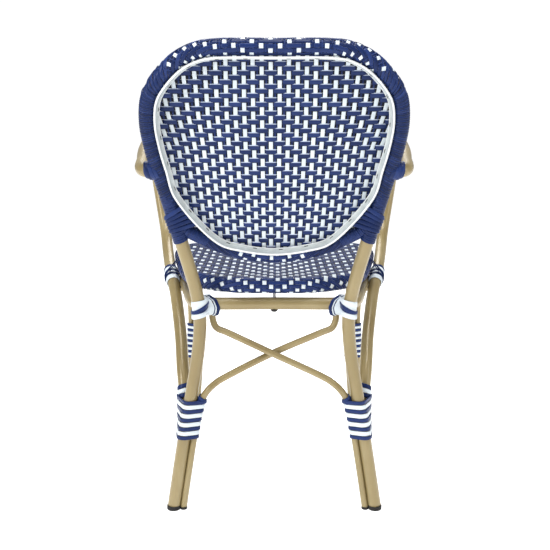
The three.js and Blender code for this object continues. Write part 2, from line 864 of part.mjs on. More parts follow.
// Rings of a strand: level round the rear half of each turn, climbing round the front half
function strandRings(members, start, width, pitch, turns, steps) {
  const half = width / 2;
  const section = [
    [0, -half], [0, half], [strandThickness, half * strandCrown], [strandThickness, -half * strandCrown],
  ];
  return Array.from({ length: turns * steps + 1 }, (_, i) => {
    const turn = i / steps;
    const climbed = Math.floor(turn) + Math.max(0, 2 * (turn % 1) - 1);
    const height = start + pitch * climbed;
    const angle = Math.PI + 2 * Math.PI * turn;
    const corner = bundleCorner(members, angle, (2 * Math.PI) / steps, height, half);
    const { along } = memberAt(members[0], height);
    const up = along.multiplyScalar(Math.sign(along.z));
    const out = levelDirection(angle).projectOnPlane(up).normalize();
    return section.map(([outward, upward]) => (
      corner.clone().addScaledVector(out, outward).addScaledVector(up, upward)
    ));
  });
}

function middleOf(ring) {
  return ring.reduce((sum, point) => sum.add(point), vec(0, 0, 0)).divideScalar(ring.length);
}

function strand(rings) {
  return skin(rings, [middleOf(rings[0]), middleOf(rings[rings.length - 1])]);
}

// Least distance between rings that are at least half a turn apart
function leastGap(rings, others, apart) {
  let least = Infinity;
  rings.forEach((ring, i) => {
    others.forEach((other, k) => {
      if (rings === others && k - i < apart) return;
      ring.forEach((point) => other.forEach((place) => {
        least = Math.min(least, point.distanceTo(place));
      }));
    });
  });
  return least;
}

function anklePair(name, members, bottom, blueWidth, whiteWidth, blueTurns, steps) {
  const pitch = blueWidth + whiteWidth + 2 * strandGap;
  const blueStart = bottom + blueWidth / 2;
  const whiteStart = blueStart + pitch / 2;
  const blue = strandRings(members, blueStart, blueWidth, pitch, blueTurns, steps);
  const white = strandRings(members, whiteStart, whiteWidth, pitch, blueTurns - 1, steps);
  const apart = steps / 2;
  const gaps = [leastGap(blue, blue, apart), leastGap(white, white, apart), leastGap(blue, white, 0)];
  console.log(name, 'least gaps: blue, white, blue to white', gaps.map((gap) => gap.toFixed(2)).join(' '));
  addPair(`${name}_blue`, strand(blue), navyStrand);
  addPair(`${name}_white`, strand(white), whiteStrand);
}

function upright(path, radius, from, to, bottom = -Infinity) {
  return { path: new Chords(path), radius, from, to, bottom };
}

// Lashings: a body round two tubes, from a round outline about their centres
function hullOutline(first, second, firstRadius, secondRadius) {
  const way = new THREE.Vector2(second[0] - first[0], second[1] - first[1]);
  const axis = way.angle();
  const lean = Math.acos((firstRadius - secondRadius) / way.length());
  const arc = (centre, radius, from, to) => Array.from({ length: lashingSides }, (_, i) => {
    const angle = from + ((to - from) * i) / (lashingSides - 1);
    return new THREE.Vector2(centre[0] + radius * Math.cos(angle), centre[1] + radius * Math.sin(angle));
  });
  return new THREE.Shape([
    ...arc(first, firstRadius, axis + lean, axis + 2 * Math.PI - lean),
    ...arc(second, secondRadius, axis - lean, axis + lean),
  ]);
}

function rearJointLashing() {
  const height = lashingTop - lashingBottom;
  const leg = frameAtHeight((lashingTop + lashingBottom) / 2);
  const legReach = clearRadius(tubeRadius) + lashingThickness;
  const ringReach = clearRadius(ringRadius) + lashingThickness;
  const outline = hullOutline([leg.x, leg.y], [leg.x, ringBack], legReach, ringReach);
  const block = new THREE.ExtrudeGeometry(outline, { depth: height, bevelEnabled: false });
  return cut(block.translate(0, 0, lashingBottom), frameCutter, ringCutter);
}

function seatSideLashing() {
  const share = shareWhere(armPath, 'y', armLashingBack, lowerArmStart / armSpans, armTailStart / armSpans);
  const arm = armPath.getPoint(share);
  const ring = ringSideAt(armLashingBack);
  const armReach = clearRadius(tubeRadius) + lashingThickness;
  const ringReach = clearRadius(ringRadius) + lashingThickness / 2;
  const outline = hullOutline([arm.x, arm.z], [ring.x, ring.z], armReach, ringReach);
  const block = new THREE.ExtrudeGeometry(outline, { depth: armLashingLength, bevelEnabled: false });
  block.rotateX(Math.PI / 2).translate(0, armLashingBack + armLashingLength / 2, 0);
  return cut(block, armCutter, ringCutter);
}

// Rubber foot with its sole on the floor
function foot(radius, height, spot) {
  const profile = [
    [0, 0], [radius - footLip, 0], [radius, footLip], [radius, height], [0, height],
  ].map(([reach, rise]) => new THREE.Vector2(reach, rise));
  return new THREE.LatheGeometry(profile, footSides).rotateX(Math.PI / 2).translate(spot.x, spot.y, 0);
}

function seatBolt(spot) {
  return post(boltRadius, boltBottom, seatHeight, spot, boltSides);
}

// Black cap pressed on from below, hollowed to sit round the ring
function boltCap(spot) {
  const radius = capDiameter / 2;
  const bottom = ringHeight - ringRadius - capHeight;
  const top = 2 * capHeight;
  const profile = [
    [0, 0], [radius * capCrown, 0], [radius, capHeight * capCrown], [radius, top], [0, top],
  ].map(([reach, rise]) => new THREE.Vector2(reach, rise));
  const cap = new THREE.LatheGeometry(profile, footSides).rotateX(Math.PI / 2);
  return cut(cap.translate(spot.x, spot.y, bottom), ringCutter);
}

add('back_frame', cut(frameTube, floorBlock(footHeight + clearance)), paint);
add('hoop_wrap', hoopWrap(), navyStrand);
add('back_lower_rail', backLowerRail(), paint);
add('lower_rail_wrap', lowerRailWrap(), navyStrand);
add('border_band', borderBand(), bandPlastic);
add('back_weave', backWeave(), whiteStrand);
addPair('arm', cut(armTube, frameCutter), paint);
addPair('arm_joint_wrap', armJointWrap(), navyStrand);
addPair('front_leg', frontLeg(), paint);
add('seat_rail', seatRail(), paint);
add('seat_frame', seatFrame(), paint);
add('seat_weave', seatWeave(), navyStrand);
add('x_brace_left', thinTubeAlong(rearCrossPath), paint);
add('x_brace_right', mirrored(thinTubeAlong(frontCrossPath)), paint);
addPair('side_brace', thinTubeAlong(sideBracePath), paint);
addPair('rear_joint_lashing', rearJointLashing(), whiteStrand);
addPair('seat_side_lashing', seatSideLashing(), whiteStrand);

const rearAnkle = [
  upright(framePath, tubeRadius, 0, topShare),
  upright(rearCrossPath, thinRadius, 0, 1),
  upright(armPath, tubeRadius, lowerArmStart / armSpans, 1, armEndHeight - tubeRadius / 2),
];
const frontAnkle = [
  upright(frontLegPath, tubeRadius, 0, 1),
  upright(sideBracePath, thinRadius, 0, 1),
];
anklePair(
  'rear_ankle', rearAnkle, rearAnkleBottom, rearAnkleBlue, rearAnkleWhite, rearAnkleBlueTurns,
  rearAnkleSteps,
);
anklePair(
  'front_ankle', frontAnkle, frontAnkleBottom, frontAnkleStrand, frontAnkleStrand, frontAnkleBlueTurns,
  frontAnkleSteps,
);

const thinFootRadius = thinRadius + footLip;
const mainFootRadius = tubeRadius + footLip;
const aside = vec(besideLeg, 0, 0);
const rearSpot = frameAtHeight(thinFootHeight);
const frontSpot = frontLegAt(thinFootHeight);
addPair('rear_foot', foot(mainFootRadius, footHeight, rearSpot), rubber);
addPair('front_foot', foot(mainFootRadius, footHeight, frontSpot), rubber);
addPair('rear_thin_foot', foot(thinFootRadius, thinFootHeight, rearSpot.clone().sub(aside)), rubber);
addPair('front_thin_foot', foot(thinFootRadius, thinFootHeight, frontSpot.clone().add(aside)), rubber);

Object.entries(boltSpots).forEach(([side, spot]) => {
  add(`seat_bolt_${side}`, seatBolt(spot), steel);
  add(`seat_bolt_cap_${side}`, boltCap(spot), rubber);
});

// The middle of the floor plan becomes the origin
const bounds = new THREE.Box3().setFromObject(chair);
const middle = bounds.getCenter(vec(0, 0, 0));
chair.children.forEach((mesh) => mesh.geometry.translate(-middle.x, -middle.y, -bounds.min.z));

export default chair;
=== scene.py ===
import math
from collections import namedtuple

import bpy
import numpy as np
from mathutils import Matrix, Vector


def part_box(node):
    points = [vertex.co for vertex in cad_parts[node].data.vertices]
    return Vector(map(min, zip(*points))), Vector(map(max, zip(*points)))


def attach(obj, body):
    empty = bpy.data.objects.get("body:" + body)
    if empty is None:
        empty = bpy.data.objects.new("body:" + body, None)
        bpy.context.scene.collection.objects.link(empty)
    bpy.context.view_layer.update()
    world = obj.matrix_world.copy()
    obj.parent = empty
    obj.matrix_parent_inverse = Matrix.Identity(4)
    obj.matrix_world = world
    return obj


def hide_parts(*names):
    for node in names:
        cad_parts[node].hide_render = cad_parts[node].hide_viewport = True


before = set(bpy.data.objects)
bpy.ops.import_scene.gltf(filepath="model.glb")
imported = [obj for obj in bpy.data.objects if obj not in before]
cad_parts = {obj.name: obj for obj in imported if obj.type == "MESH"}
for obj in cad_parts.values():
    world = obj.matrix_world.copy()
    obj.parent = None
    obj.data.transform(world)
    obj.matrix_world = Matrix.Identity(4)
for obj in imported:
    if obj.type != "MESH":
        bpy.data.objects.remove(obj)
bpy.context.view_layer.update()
rng = np.random.default_rng(11)

# Sizes in millimetres, in the frame that the CAD was drawn in
TUBE, RING_TUBE, THIN_TUBE, RAIL_TUBE, SEAT_TUBE = 12.5, 12.0, 6.5, 9.5, 11.0
CLEAR = 0.3
WAIST_X, HOOP_X, FOOT_X = 141.5, 219.5, 197.0
WAIST_Z, RAIL_Z, HOOP_Z, RAIL_SAG = 375.0, 556.0, 868.0, 59.0
LEG_SPLAY, RECLINE_BLEND, RECLINE_LEAD = 29.0, 80.0, 17.0
RECLINE = math.radians(15.3)
RING_Z, RING_BACK, RING_REAR, RING_CORNER = 399.5, -187.5, 130.0, 32.0
RING_X, RING_FRONT = 215.5, 243.0
SEAT_Z, SEAT_X, SEAT_BACK, SEAT_FRONT, SEAT_SAG = 435.5, 215.5, -186.0, 243.0, 9.0
ARM_Z, ARM_X, ARM_FRONT, ARM_JOINT, ARM_END = 700.0, 275.0, 222.0, 0.33, 152.0
FRONT_X, FRONT_SPLAY, FRONT_LEAN = 186.0, 16.0, 13.0
BRACE_BEND, CROSS_INSET, CROSS_Z, CROSS_BACK, CROSS_BOW = 300.0, 22.5, 302.0, -196.0, 30.0
# From the axis of a leg to the thin tube beside its foot
BESIDE = 19.1
# Heights: the turns round the posts, the rear lashings, and where tubes end in their feet
POST_END, POST_TOP, LASHING_Z, TUBE_START, THIN_START = 527.5, RAIL_Z + 58, 397.25, 7.2, 4.4
# How far from the middle the turns round the lower rail end
RAIL_TURNS_END = 124
# How far ahead the lashings beside the seat are
SIDE_LASH = 39.0
# The pale band: its tilt, and how far its middle stands off the axes of the hoop and the lower rail
BAND_TILT, HOOP_BAND, RAIL_BAND = math.radians(72), 18.1, 14.9

bolt_low, bolt_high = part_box("seat_bolt_rear")
SHIFT = np.array([0, 500 * (bolt_low[1] + bolt_high[1]) - RING_BACK, 0])
ACROSS, AHEAD, RISING = np.eye(3)


def unit(vector):
    return vector / np.linalg.norm(vector, axis=-1, keepdims=True)


def mirror(points):
    return np.asarray(points) * np.array([-1, 1, 1])


def lengths(points):
    """Length along a line at each of its points."""
    return np.concatenate([[0], np.cumsum(np.linalg.norm(np.diff(points, axis=0), axis=1))])


def tangents(points, closed=False):
    if closed:
        return unit(np.roll(points, -1, axis=0) - np.roll(points, 1, axis=0))
    return unit(np.gradient(points, axis=0))


def interpolate(place, known, table):
    """Rows of a table at places between its known ones."""
    return np.stack([np.interp(place, known, column) for column in table.T], axis=-1)


class Curve:
    """Centripetal Catmull-Rom curve. Its parameter counts the spans between the points."""

    def __init__(self, points, closed=False):
        self.points = np.array(points, float)
        count = len(self.points)
        self.spans = count if closed else count - 1
        if closed:
            self.padded = self.points[np.arange(-1, count + 2) % count]
        else:
            first = 2 * self.points[0] - self.points[1]
            last = 2 * self.points[-1] - self.points[-2]
            self.padded = np.vstack([first, self.points, last])

    def at(self, place):
        place = np.clip(np.atleast_1d(np.asarray(place, float)), 0, self.spans)
        start = np.minimum(place.astype(int), self.spans - 1)
        w = (place - start)[:, None]
        a, b, c, d = (self.padded[start + k] for k in range(4))
        step = [np.linalg.norm(q - p, axis=1)[:, None] ** 0.5 for p, q in ((a, b), (b, c), (c, d))]
        into = (b - a) / step[0] - (c - a) / (step[0] + step[1]) + (c - b) / step[1]
        away = (c - b) / step[1] - (d - b) / (step[1] + step[2]) + (d - c) / step[2]
        into, away = into * step[1], away * step[1]
        return b + into * w + (3 * (c - b) - 2 * into - away) * w**2 + (2 * (b - c) + into + away) * w**3

    def tangent(self, place):
        place = np.atleast_1d(np.asarray(place, float))
        return unit(self.at(np.minimum(place + 1e-3, self.spans)) - self.at(np.maximum(place - 1e-3, 0)))

    def where(self, axis, value, low, high):
        """Place between two others where a coordinate has a value."""
        rising = self.at(high)[0][axis] > self.at(low)[0][axis]
        for _ in range(40):
            middle = (low + high) / 2
            if (self.at(middle)[0][axis] < value) == rising:
                low = middle
            else:
                high = middle
        return low

    def spot(self, axis, value, low, high):
        return self.at(self.where(axis, value, low, high))[0]

    def sampled(self, step, low=0, high=None):
        """Points evenly spaced in length between two places, or along the whole curve."""
        high = self.spans if high is None else high
        fine = np.linspace(low, high, int((high - low) * 60) + 2)
        places = self.at(fine)
        length = lengths(places)
        count = max(2, int(round(length[-1] / step)) + 1)
        return self.at(np.interp(np.linspace(0, length[-1], count), length, fine))


# Paths of the tubes, as in the CAD

REACH = RING_CORNER + RING_TUBE + TUBE + 2 * CLEAR
WAIST_BACK = RING_BACK + RING_CORNER - math.sqrt(REACH**2 - (WAIST_X - RING_REAR) ** 2)
RAIL_MIDDLE = RAIL_Z - RAIL_SAG
RECLINE_START = RAIL_MIDDLE - RECLINE_LEAD - RECLINE_BLEND
HOOP_RISE = HOOP_Z - RAIL_Z
UP = np.array([0, -math.sin(RECLINE), math.cos(RECLINE)])
REAR = np.array([0, -math.cos(RECLINE), -math.sin(RECLINE)])


def frame_back(height):
    if height < WAIST_Z:
        return WAIST_BACK - LEG_SPLAY * ((WAIST_Z - height) / WAIST_Z) ** 2
    rise = max(0, height - RECLINE_START)
    leaned = rise**2 / (2 * RECLINE_BLEND) if rise < RECLINE_BLEND else rise - RECLINE_BLEND / 2
    return WAIST_BACK - math.tan(RECLINE) * leaned


def on_back(x, height, rear=0.0):
    return np.array([x, frame_back(height), height]) + REAR * rear


LEGS = [(1, 0), (0.61, 0.371), (0.36, 0.581), (0.07, 0.84), (0, 1)]
LOW_SIDES = [(0.06, 0.248), (0.37, 0.817), (0.468, 1)]
HIGH_SIDES = [(0.645, 0.18), (0.8, 0.324), (0.93, 0.461), (1, 0.605), (0.925, 0.741), (0.67, 0.84)]
CROWN = [(0.759, 0.923), (0.631, 0.972), (0.5, 0.995)]
RAIL_END_POINT = len(LEGS) + len(LOW_SIDES) - 1


def frame_points():
    spread = HOOP_X - WAIST_X
    flat = [(WAIST_X + (FOOT_X - WAIST_X) * a, WAIST_Z * b) for a, b in LEGS]
    flat += [(WAIST_X + spread * a, WAIST_Z + (RAIL_Z - WAIST_Z) * b) for a, b in LOW_SIDES]
    flat += [(WAIST_X + spread * a, RAIL_Z + HOOP_RISE * b) for a, b in HIGH_SIDES]
    flat += [(HOOP_X * a, RAIL_Z + HOOP_RISE * b) for a, b in CROWN]
    right = np.array([(x, frame_back(z), z) for x, z in flat])
    top = [(0, frame_back(HOOP_Z), HOOP_Z)]
    return np.vstack([right, top, mirror(right)[::-1]])


frame_path = Curve(frame_points())
TOP = frame_path.spans / 2


def frame_at(height):
    return frame_path.spot(2, height, 0, TOP)


def rail_points():
    end = frame_path.points[RAIL_END_POINT][0]
    shares = [(0.96, 0.94), (0.82, 0.7), (0.6, 0.37), (0.36, 0.13), (0, 0)]
    half = np.array([on_back(end * a, RAIL_Z - RAIL_SAG * (1 - b), RAIL_TUBE - TUBE) for a, b in shares])
    return np.vstack([half, mirror(half[:-1])[::-1]])


rail_path = Curve(rail_points())


def ring_points():
    corner_x, corner_y = RING_REAR + RING_CORNER, RING_BACK + RING_CORNER
    turned = RING_CORNER * math.sqrt(0.5)
    flat = [(0, RING_BACK), (RING_REAR, RING_BACK), (RING_REAR + turned, corner_y - turned)]
    flat += [(corner_x, corner_y)]
    shares = [(0.187, 0.139), (0.664, 0.503), (0.86, 0.666), (0.98, 0.804)]
    shares += [(1, 0.842), (0.916, 0.905), (0.636, 0.962), (0.15, 0.995)]
    wide, deep = RING_X - corner_x, RING_FRONT - corner_y
    flat += [(corner_x + wide * a, corner_y + deep * b) for a, b in shares]
    flat += [(RING_REAR, RING_FRONT), (0, RING_FRONT)]
    half = np.array([(x, y, RING_Z) for x, y in flat])
    return np.vstack([half, mirror(half[1:-1])[::-1]])


ring_path = Curve(ring_points(), closed=True)


def seat_points():
    shares = [(0, 0), (0.325, 0.005), (0.585, 0.068), (0.7655, 0.189), (0.849, 0.352), (0.9165, 0.538)]
    shares += [(0.965, 0.69), (1, 0.853), (0.979, 0.911), (0.91, 0.965), (0.789, 0.995), (0.557, 1), (0, 1)]
    half = np.array([(SEAT_X * a, SEAT_BACK + (SEAT_FRONT - SEAT_BACK) * b, SEAT_Z) for a, b in shares])
    return np.vstack([half, mirror(half[1:-1])[::-1]])


seat_path = Curve(seat_points(), closed=True)


def arm_points():
    joint = frame_at(RAIL_Z + HOOP_RISE * ARM_JOINT)
    way = np.array([ARM_X, ARM_FRONT, ARM_Z]) - joint
    lead = joint + 2 * TUBE * np.array([1.086, 0.355, 0.044])
    upper = [(0.591, 0.198, 0.368), (0.747, 0.377, 0.659), (0.973, 0.776, 1.017)]
    upper = [joint + way * np.array(share) for share in upper]
    front = [(1.016, 0.896, 0.026), (1.02, 0.972, 0.126), (1, 1, 0.3), (0.914, 0.994, 0.445)]
    drop = RING_Z - ARM_Z
    front = [(joint[0] + way[0] * a, joint[1] + way[1] * b, ARM_Z + drop * c) for a, b, c in front]
    lower = [(1.065, 0.877, 1.224), (1, 0.714, 1.106), (0.93, 0.54, 1.031), (0.884, 0.447, 0.991)]
    lower += [(0.84, 0.354, 0.931), (0.768, 0.185, 0.778), (0.731, 0.069, 0.647)]
    side = RING_TUBE + TUBE + CLEAR
    depth = RING_FRONT - RING_BACK
    lower = [(RING_X * a + side, RING_BACK + depth * b, RING_Z * c) for a, b, c in lower]
    tail = [(1.45, 0.62, 1.32), (1.22, 0.34, 1.05), (1, 0.14, 1)]
    ahead = 2 * TUBE + 2 * CLEAR
    tail = [frame_at(ARM_END * a) + np.array([2 * TUBE * b, ahead * c, 0]) for a, b, c in tail]
    return np.vstack([joint, lead, *upper, front, lower, tail])


arm_path = Curve(arm_points())
LOWER_ARM = 9


def front_leg_points():
    top_y = ring_path.spot(0, FRONT_X, 9, 12)[1]
    top = RING_Z - RING_TUBE / 2
    shares = [(0, 1), (0, 0.772), (0, 0.489), (0.42, 0.244), (1, 0)]
    return [(FRONT_X + FRONT_SPLAY * a, top_y + FRONT_LEAN * a, top * b) for a, b in shares]


front_path = Curve(front_leg_points())


def front_at(height):
    return front_path.spot(2, height, 0, front_path.spans)


def side_brace_points():
    shares = [(0.951, 0.54, 0.953), (0.9745, 0.668, 0.941), (0.979, 0.784, 0.9086), (0.97, 0.877, 0.871)]
    shares += [(0.963, 0.951, 0.8135)]
    upper = [(RING_X * a, RING_BACK + (RING_FRONT - RING_BACK) * b, RING_Z * c) for a, b, c in shares]
    lower = [front_at(BRACE_BEND * a) + np.array([BESIDE, 0, 0]) for a in (1, 0.63, 0.3, 0)]
    return np.vstack([upper, lower])


side_path = Curve(side_brace_points())


def cross_points(middle_back):
    top = WAIST_X - CROSS_INSET
    first = [(1, 0, 0.985), (1, 0.017, 0.921), (0.941, 0.083, 0.881), (0.765, 0.18, 0.8586)]
    second = [(0.807, 0.65, 0.643), (0.916, 0.783, 0.626), (1.059, 1.017, 0.593), (1.164, 0.95, 0.5457)]
    points = [(-top * a, RING_BACK - CROSS_BOW * b, RING_Z * c) for a, b, c in first]
    points += [(0, middle_back, CROSS_Z)]
    points += [(top * a, RING_BACK - CROSS_BOW * b, RING_Z * c) for a, b, c in second]
    points += [tuple(frame_at(WAIST_Z * a) - np.array([BESIDE, 0, 0])) for a in (0.5, 0.37, 0.18, 0)]
    return points


HALF_GAP = THIN_TUBE + CLEAR / 2
front_cross = Curve(cross_points(CROSS_BACK + HALF_GAP))
rear_cross = Curve(cross_points(CROSS_BACK - HALF_GAP))

# Meshes


class Build:
    """Collects the faces of one piece, with places along and across each strand for its material."""

    def __init__(self):
        self.places, self.faces, self.maps, self.tints, self.edges = [], [], [], [], []
        self.count = 0

    def skin(self, rings, tint=0.5, closed=False, edge=0.0):
        """Skin over an array of (rings, points, 3). Edge is over 0 for a painted highlight, under 0 for
        painted shade in recesses.
        """
        n, m = rings.shape[:2]
        spans = n if closed else n - 1
        along = lengths(rings.mean(axis=1)) + tint * 977
        along = np.append(along, 2 * along[-1] - along[-2])
        across = np.arange(m + 1) / m
        i = np.repeat(np.arange(spans), m)
        k = np.tile(np.arange(m), spans)
        j, q = (i + 1) % n, (k + 1) % m
        quads = self.count + np.stack([i * m + k, i * m + q, j * m + q, j * m + k], axis=1)
        corners = [(along[i], across[k]), (along[i], across[k + 1])]
        corners += [(along[i + 1], across[k + 1]), (along[i + 1], across[k])]
        self.faces += quads.tolist()
        self.maps.append(np.stack([np.stack(c, axis=1) for c in corners], axis=1).reshape(-1, 2))
        if not closed:
            for cap, end in ((np.arange(m)[::-1], 0), (np.arange(m) + (n - 1) * m, -2)):
                self.faces.append((self.count + cap).tolist())
                self.maps.append(np.stack([np.full(m, along[end]), across[:m]], axis=1))
        self.places.append(rings.reshape(-1, 3))
        self.tints.append(np.full(n * m, tint))
        self.edges.append(np.broadcast_to(edge, (n, m)).ravel())
        self.count += n * m

    def strand(self, points, normals, width, thick, half, closed=False):
        """A flat strand with a tint of its own."""
        rings = strand_rings(points, normals, width, thick, half, closed)
        self.skin(rings, rng.random(), closed)

    def join(self, other):
        """Take over the strands of another build."""
        self.places += other.places
        self.faces += [[self.count + corner for corner in face] for face in other.faces]
        self.maps += other.maps
        self.tints += other.tints
        self.edges += other.edges
        self.count += other.count

    def mirror(self):
        """Turn the whole piece into its mirror image."""
        self.places = [mirror(places) for places in self.places]
        ends = np.cumsum([len(face) for face in self.faces])[:-1]
        self.maps = [maps[::-1] for maps in np.split(np.vstack(self.maps), ends)]
        self.faces = [face[::-1] for face in self.faces]

    def piece(self, name, look, nodes=()):
        mesh = bpy.data.meshes.new(name)
        places = (np.vstack(self.places) + SHIFT) / 1000
        mesh.from_pydata(places.tolist(), [], self.faces)
        layer = mesh.uv_layers.new(name="strand")
        layer.data.foreach_set("uv", np.vstack(self.maps).astype(np.float32).ravel())
        # The edge attribute carries painted highlight and painted shade
        for label, values in (("tint", self.tints), ("edge", self.edges)):
            layer = mesh.attributes.new(label, "FLOAT", "POINT")
            layer.data.foreach_set("value", np.concatenate(values).astype(np.float32))
        mesh.polygons.foreach_set("use_smooth", np.ones(len(mesh.polygons), bool))
        mesh.materials.append(look.material)
        mesh.validate()
        mesh.update()
        obj = placed(name, mesh)
        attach(obj, "root")
        if nodes:
            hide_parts(*nodes)


def placed(name, data):
    """A new object in the scene."""
    obj = bpy.data.objects.new(name, data)
    bpy.context.scene.collection.objects.link(obj)
    return obj


def add_pair(make, *labels):
    """Pieces of both sides. Make fills one build for each label: a name, a look and maybe a node."""
    for end in ("right", "left"):
        builds = [Build() for _ in labels]
        make(*builds)
        for build, (name, look, *nodes) in zip(builds, labels):
            if end == "left":
                build.mirror()
            build.piece(f"{name}_{end}", look, [f"{node}_{end}" for node in nodes])


def carried(points, closed=False):
    """Directions across a path that turn as little as possible: (side, normal)."""
    tangent = tangents(points, closed)
    normal = AHEAD if abs(tangent[0] @ RISING) > 0.9 else RISING
    normals = []
    for way in tangent:
        normal = unit(normal - way * (normal @ way))
        normals.append(normal)
    return np.cross(tangent, normals), np.array(normals)


def rings_along(points, side, normal, outline):
    """An outline set up at every point, from its places along side and normal."""
    return points[:, None] + side[:, None] * outline[:, :1] + normal[:, None] * outline[:, 1:]


def tube_rings(points, radius, closed=False):
    sides = 24 if radius > RAIL_TUBE else 16
    angle = np.arange(sides) * 2 * math.pi / sides
    outline = radius * np.stack([np.cos(angle), np.sin(angle)], axis=1)
    return rings_along(points, *carried(points, closed), outline)


# Upper halves of strand outlines, as shares of half the width and half the thickness
GROOVED = [(1, 0), (0.93, 0.62), (0.72, 0.96), (0.3, 1), (0, 0.8), (-0.3, 1), (-0.72, 0.96), (-0.93, 0.62)]
SOFT = [(1, 0), (0.96, 0.5), (0.85, 0.82), (0.5, 0.98), (0, 1), (-0.5, 0.98), (-0.85, 0.82), (-0.96, 0.5)]
RIBBED = [(1, 0), (0.92, 0.6), (0.6, 0.97), (0.14, 0.9), (0, 0.3), (-0.14, 0.9), (-0.6, 0.97), (-0.92, 0.6)]
PLAIN = [(1, 0), (0.9, 0.6), (0.55, 0.95), (0, 1.0), (-0.55, 0.95), (-0.9, 0.6)]
# Points of the plain outline as a row of the fabric has it: its faces, its lower side and the points
# beside that, its crest, and the side that shows above the row where it bends over a column
FRONT_FACE, BACK_FACE = slice(1, 6), slice(7, 12)
LOWER_SIDE, LOWER_FRONT, LOWER_BACK, CREST = 0, 1, 11, 3
BENT_SIDE = [6, 7]


def section(half):
    """Whole outline from its upper half."""
    top = np.array(half, float)
    return np.vstack([top, -top])


def strand_rings(points, normals, width, thick, half, closed=False):
    """A flat strand along points, with its face along normals."""
    tangent = tangents(points, closed)
    normals = unit(normals - tangent * np.sum(normals * tangent, axis=1, keepdims=True))
    outline = section(half) * [width / 2, thick / 2]
    return rings_along(points, np.cross(tangent, normals), normals, outline)


def smoothstep(value):
    value = np.clip(value, 0, 1)
    return value * value * (3 - 2 * value)


def wind(build, points, radius, pitch, width, thick, start, lean=1, half=PLAIN):
    """A strand wound round a path, from its first point to its last."""
    length = lengths(points)
    along = np.linspace(0, length[-1], int(length[-1] / pitch * 24) + 2)
    angle = (lean * 2 * math.pi * along / pitch + start)[:, None]
    centre, side, normal = (interpolate(along, length, table) for table in (points, *carried(points)))
    out = side * np.cos(angle) + normal * np.sin(angle)
    build.strand(centre + out * radius, out, width, thick, half)


NOWHERE = -1000.0


def upright(path, radius, low, high, bottom=NOWHERE):
    """A tube of an ankle by height: its points, its level radius, and the height where it starts."""
    place = np.linspace(low, high, 500)
    points = path.at(place)
    level = radius / np.maximum(np.abs(path.tangent(place)[:, 2]), 0.01)
    order = np.argsort(points[:, 2])
    return points[order], level[order], bottom


def level_at(member, height):
    points, radius, _ = member
    return [np.interp(height, points[:, 2], table) for table in (points[:, 0], points[:, 1], radius)]


def bundle_reach(members, angle, height, half):
    """How far the tubes reach from the leg's axis in level directions."""
    reaches = []
    for member in members:
        for offset in (-half, 0, half):
            x, y, radius = level_at(member, height + offset)
            axis_x, axis_y, _ = level_at(members[0], height + offset)
            reach = (x - axis_x) * np.cos(angle) + (y - axis_y) * np.sin(angle) + radius
            reaches.append(np.where(height + half > member[2], reach, NOWHERE))
    return np.max(reaches, axis=0) + CLEAR


def wind_bundle(build, members, start, width, pitch, turns, thick=2.4, steps=48):
    """A strand round several tubes, level behind them and climbing in front of them."""
    turn = np.arange(int(turns * steps) + 1) / steps
    height = start + pitch * (np.floor(turn) + smoothstep(np.maximum(0, 2 * (turn % 1) - 1)))
    angle = math.pi + 2 * math.pi * turn
    step = 2 * math.pi / steps
    before, after = angle - step / 2, angle + step / 2
    near = bundle_reach(members, before, height, width / 2)
    far = bundle_reach(members, after, height, width / 2)
    x, y, _ = level_at(members[0], height)
    x = x + (near * np.sin(after) - far * np.sin(before)) / math.sin(step)
    y = y + (np.cos(before) * far - np.cos(after) * near) / math.sin(step)
    out = np.stack([np.cos(angle), np.sin(angle), 0 * angle], axis=1)
    build.strand(np.stack([x, y, height], axis=1) + out * thick / 2, out, width, thick, SOFT)


def hull(circles, count=72):
    """Evenly spaced points and outward directions on a taut line round circles of (x, y, radius)."""
    angle = np.linspace(0, 2 * math.pi, 721)[:-1]
    way = np.stack([np.cos(angle), np.sin(angle)], axis=1)
    spots = np.array(circles, float)
    pick = np.argmax(way @ spots[:, :2].T + spots[:, 2], axis=1)
    line = spots[pick, :2] + way * spots[pick, 2:]
    line = np.vstack([line, line[:1]])
    length = lengths(line)
    points = interpolate(np.linspace(0, length[-1], count + 1)[:-1], length, line)
    step = tangents(points, closed=True)
    return points, np.stack([step[:, 1], -step[:, 0]], axis=1)


def belt(build, circles, axes, offset, slope, width, thick):
    """A closed strand round tubes that cross a plane. Offset and slope set its way along the third axis."""
    first, second, third = axes
    points, out = hull([(x, y, radius + thick / 2) for x, y, radius in circles])
    rise = offset + (points - np.mean([circle[:2] for circle in circles], axis=0)) @ np.array(slope)
    space = points[:, :1] * first + points[:, 1:] * second + rise[:, None] * third
    build.strand(space, out[:, :1] * first + out[:, 1:] * second, width, thick, SOFT, closed=True)


def square_to(axis, guide=RISING):
    """Two directions square to an axis, and the axis."""
    first = unit(np.cross(axis, guide))
    return first, np.cross(first, axis), axis


def cuff(build, spot, axes, grow, shift, slope, width, thick):
    """A belt round one tube, at a spot on its axis."""
    circles = [(spot @ axes[0], spot @ axes[1], TUBE + CLEAR + grow)]
    belt(build, circles, axes, spot @ axes[2] + shift, slope, width, thick)


# Woven fabric: a flat pattern of rows and columns that is laid over an opening and round its tubes


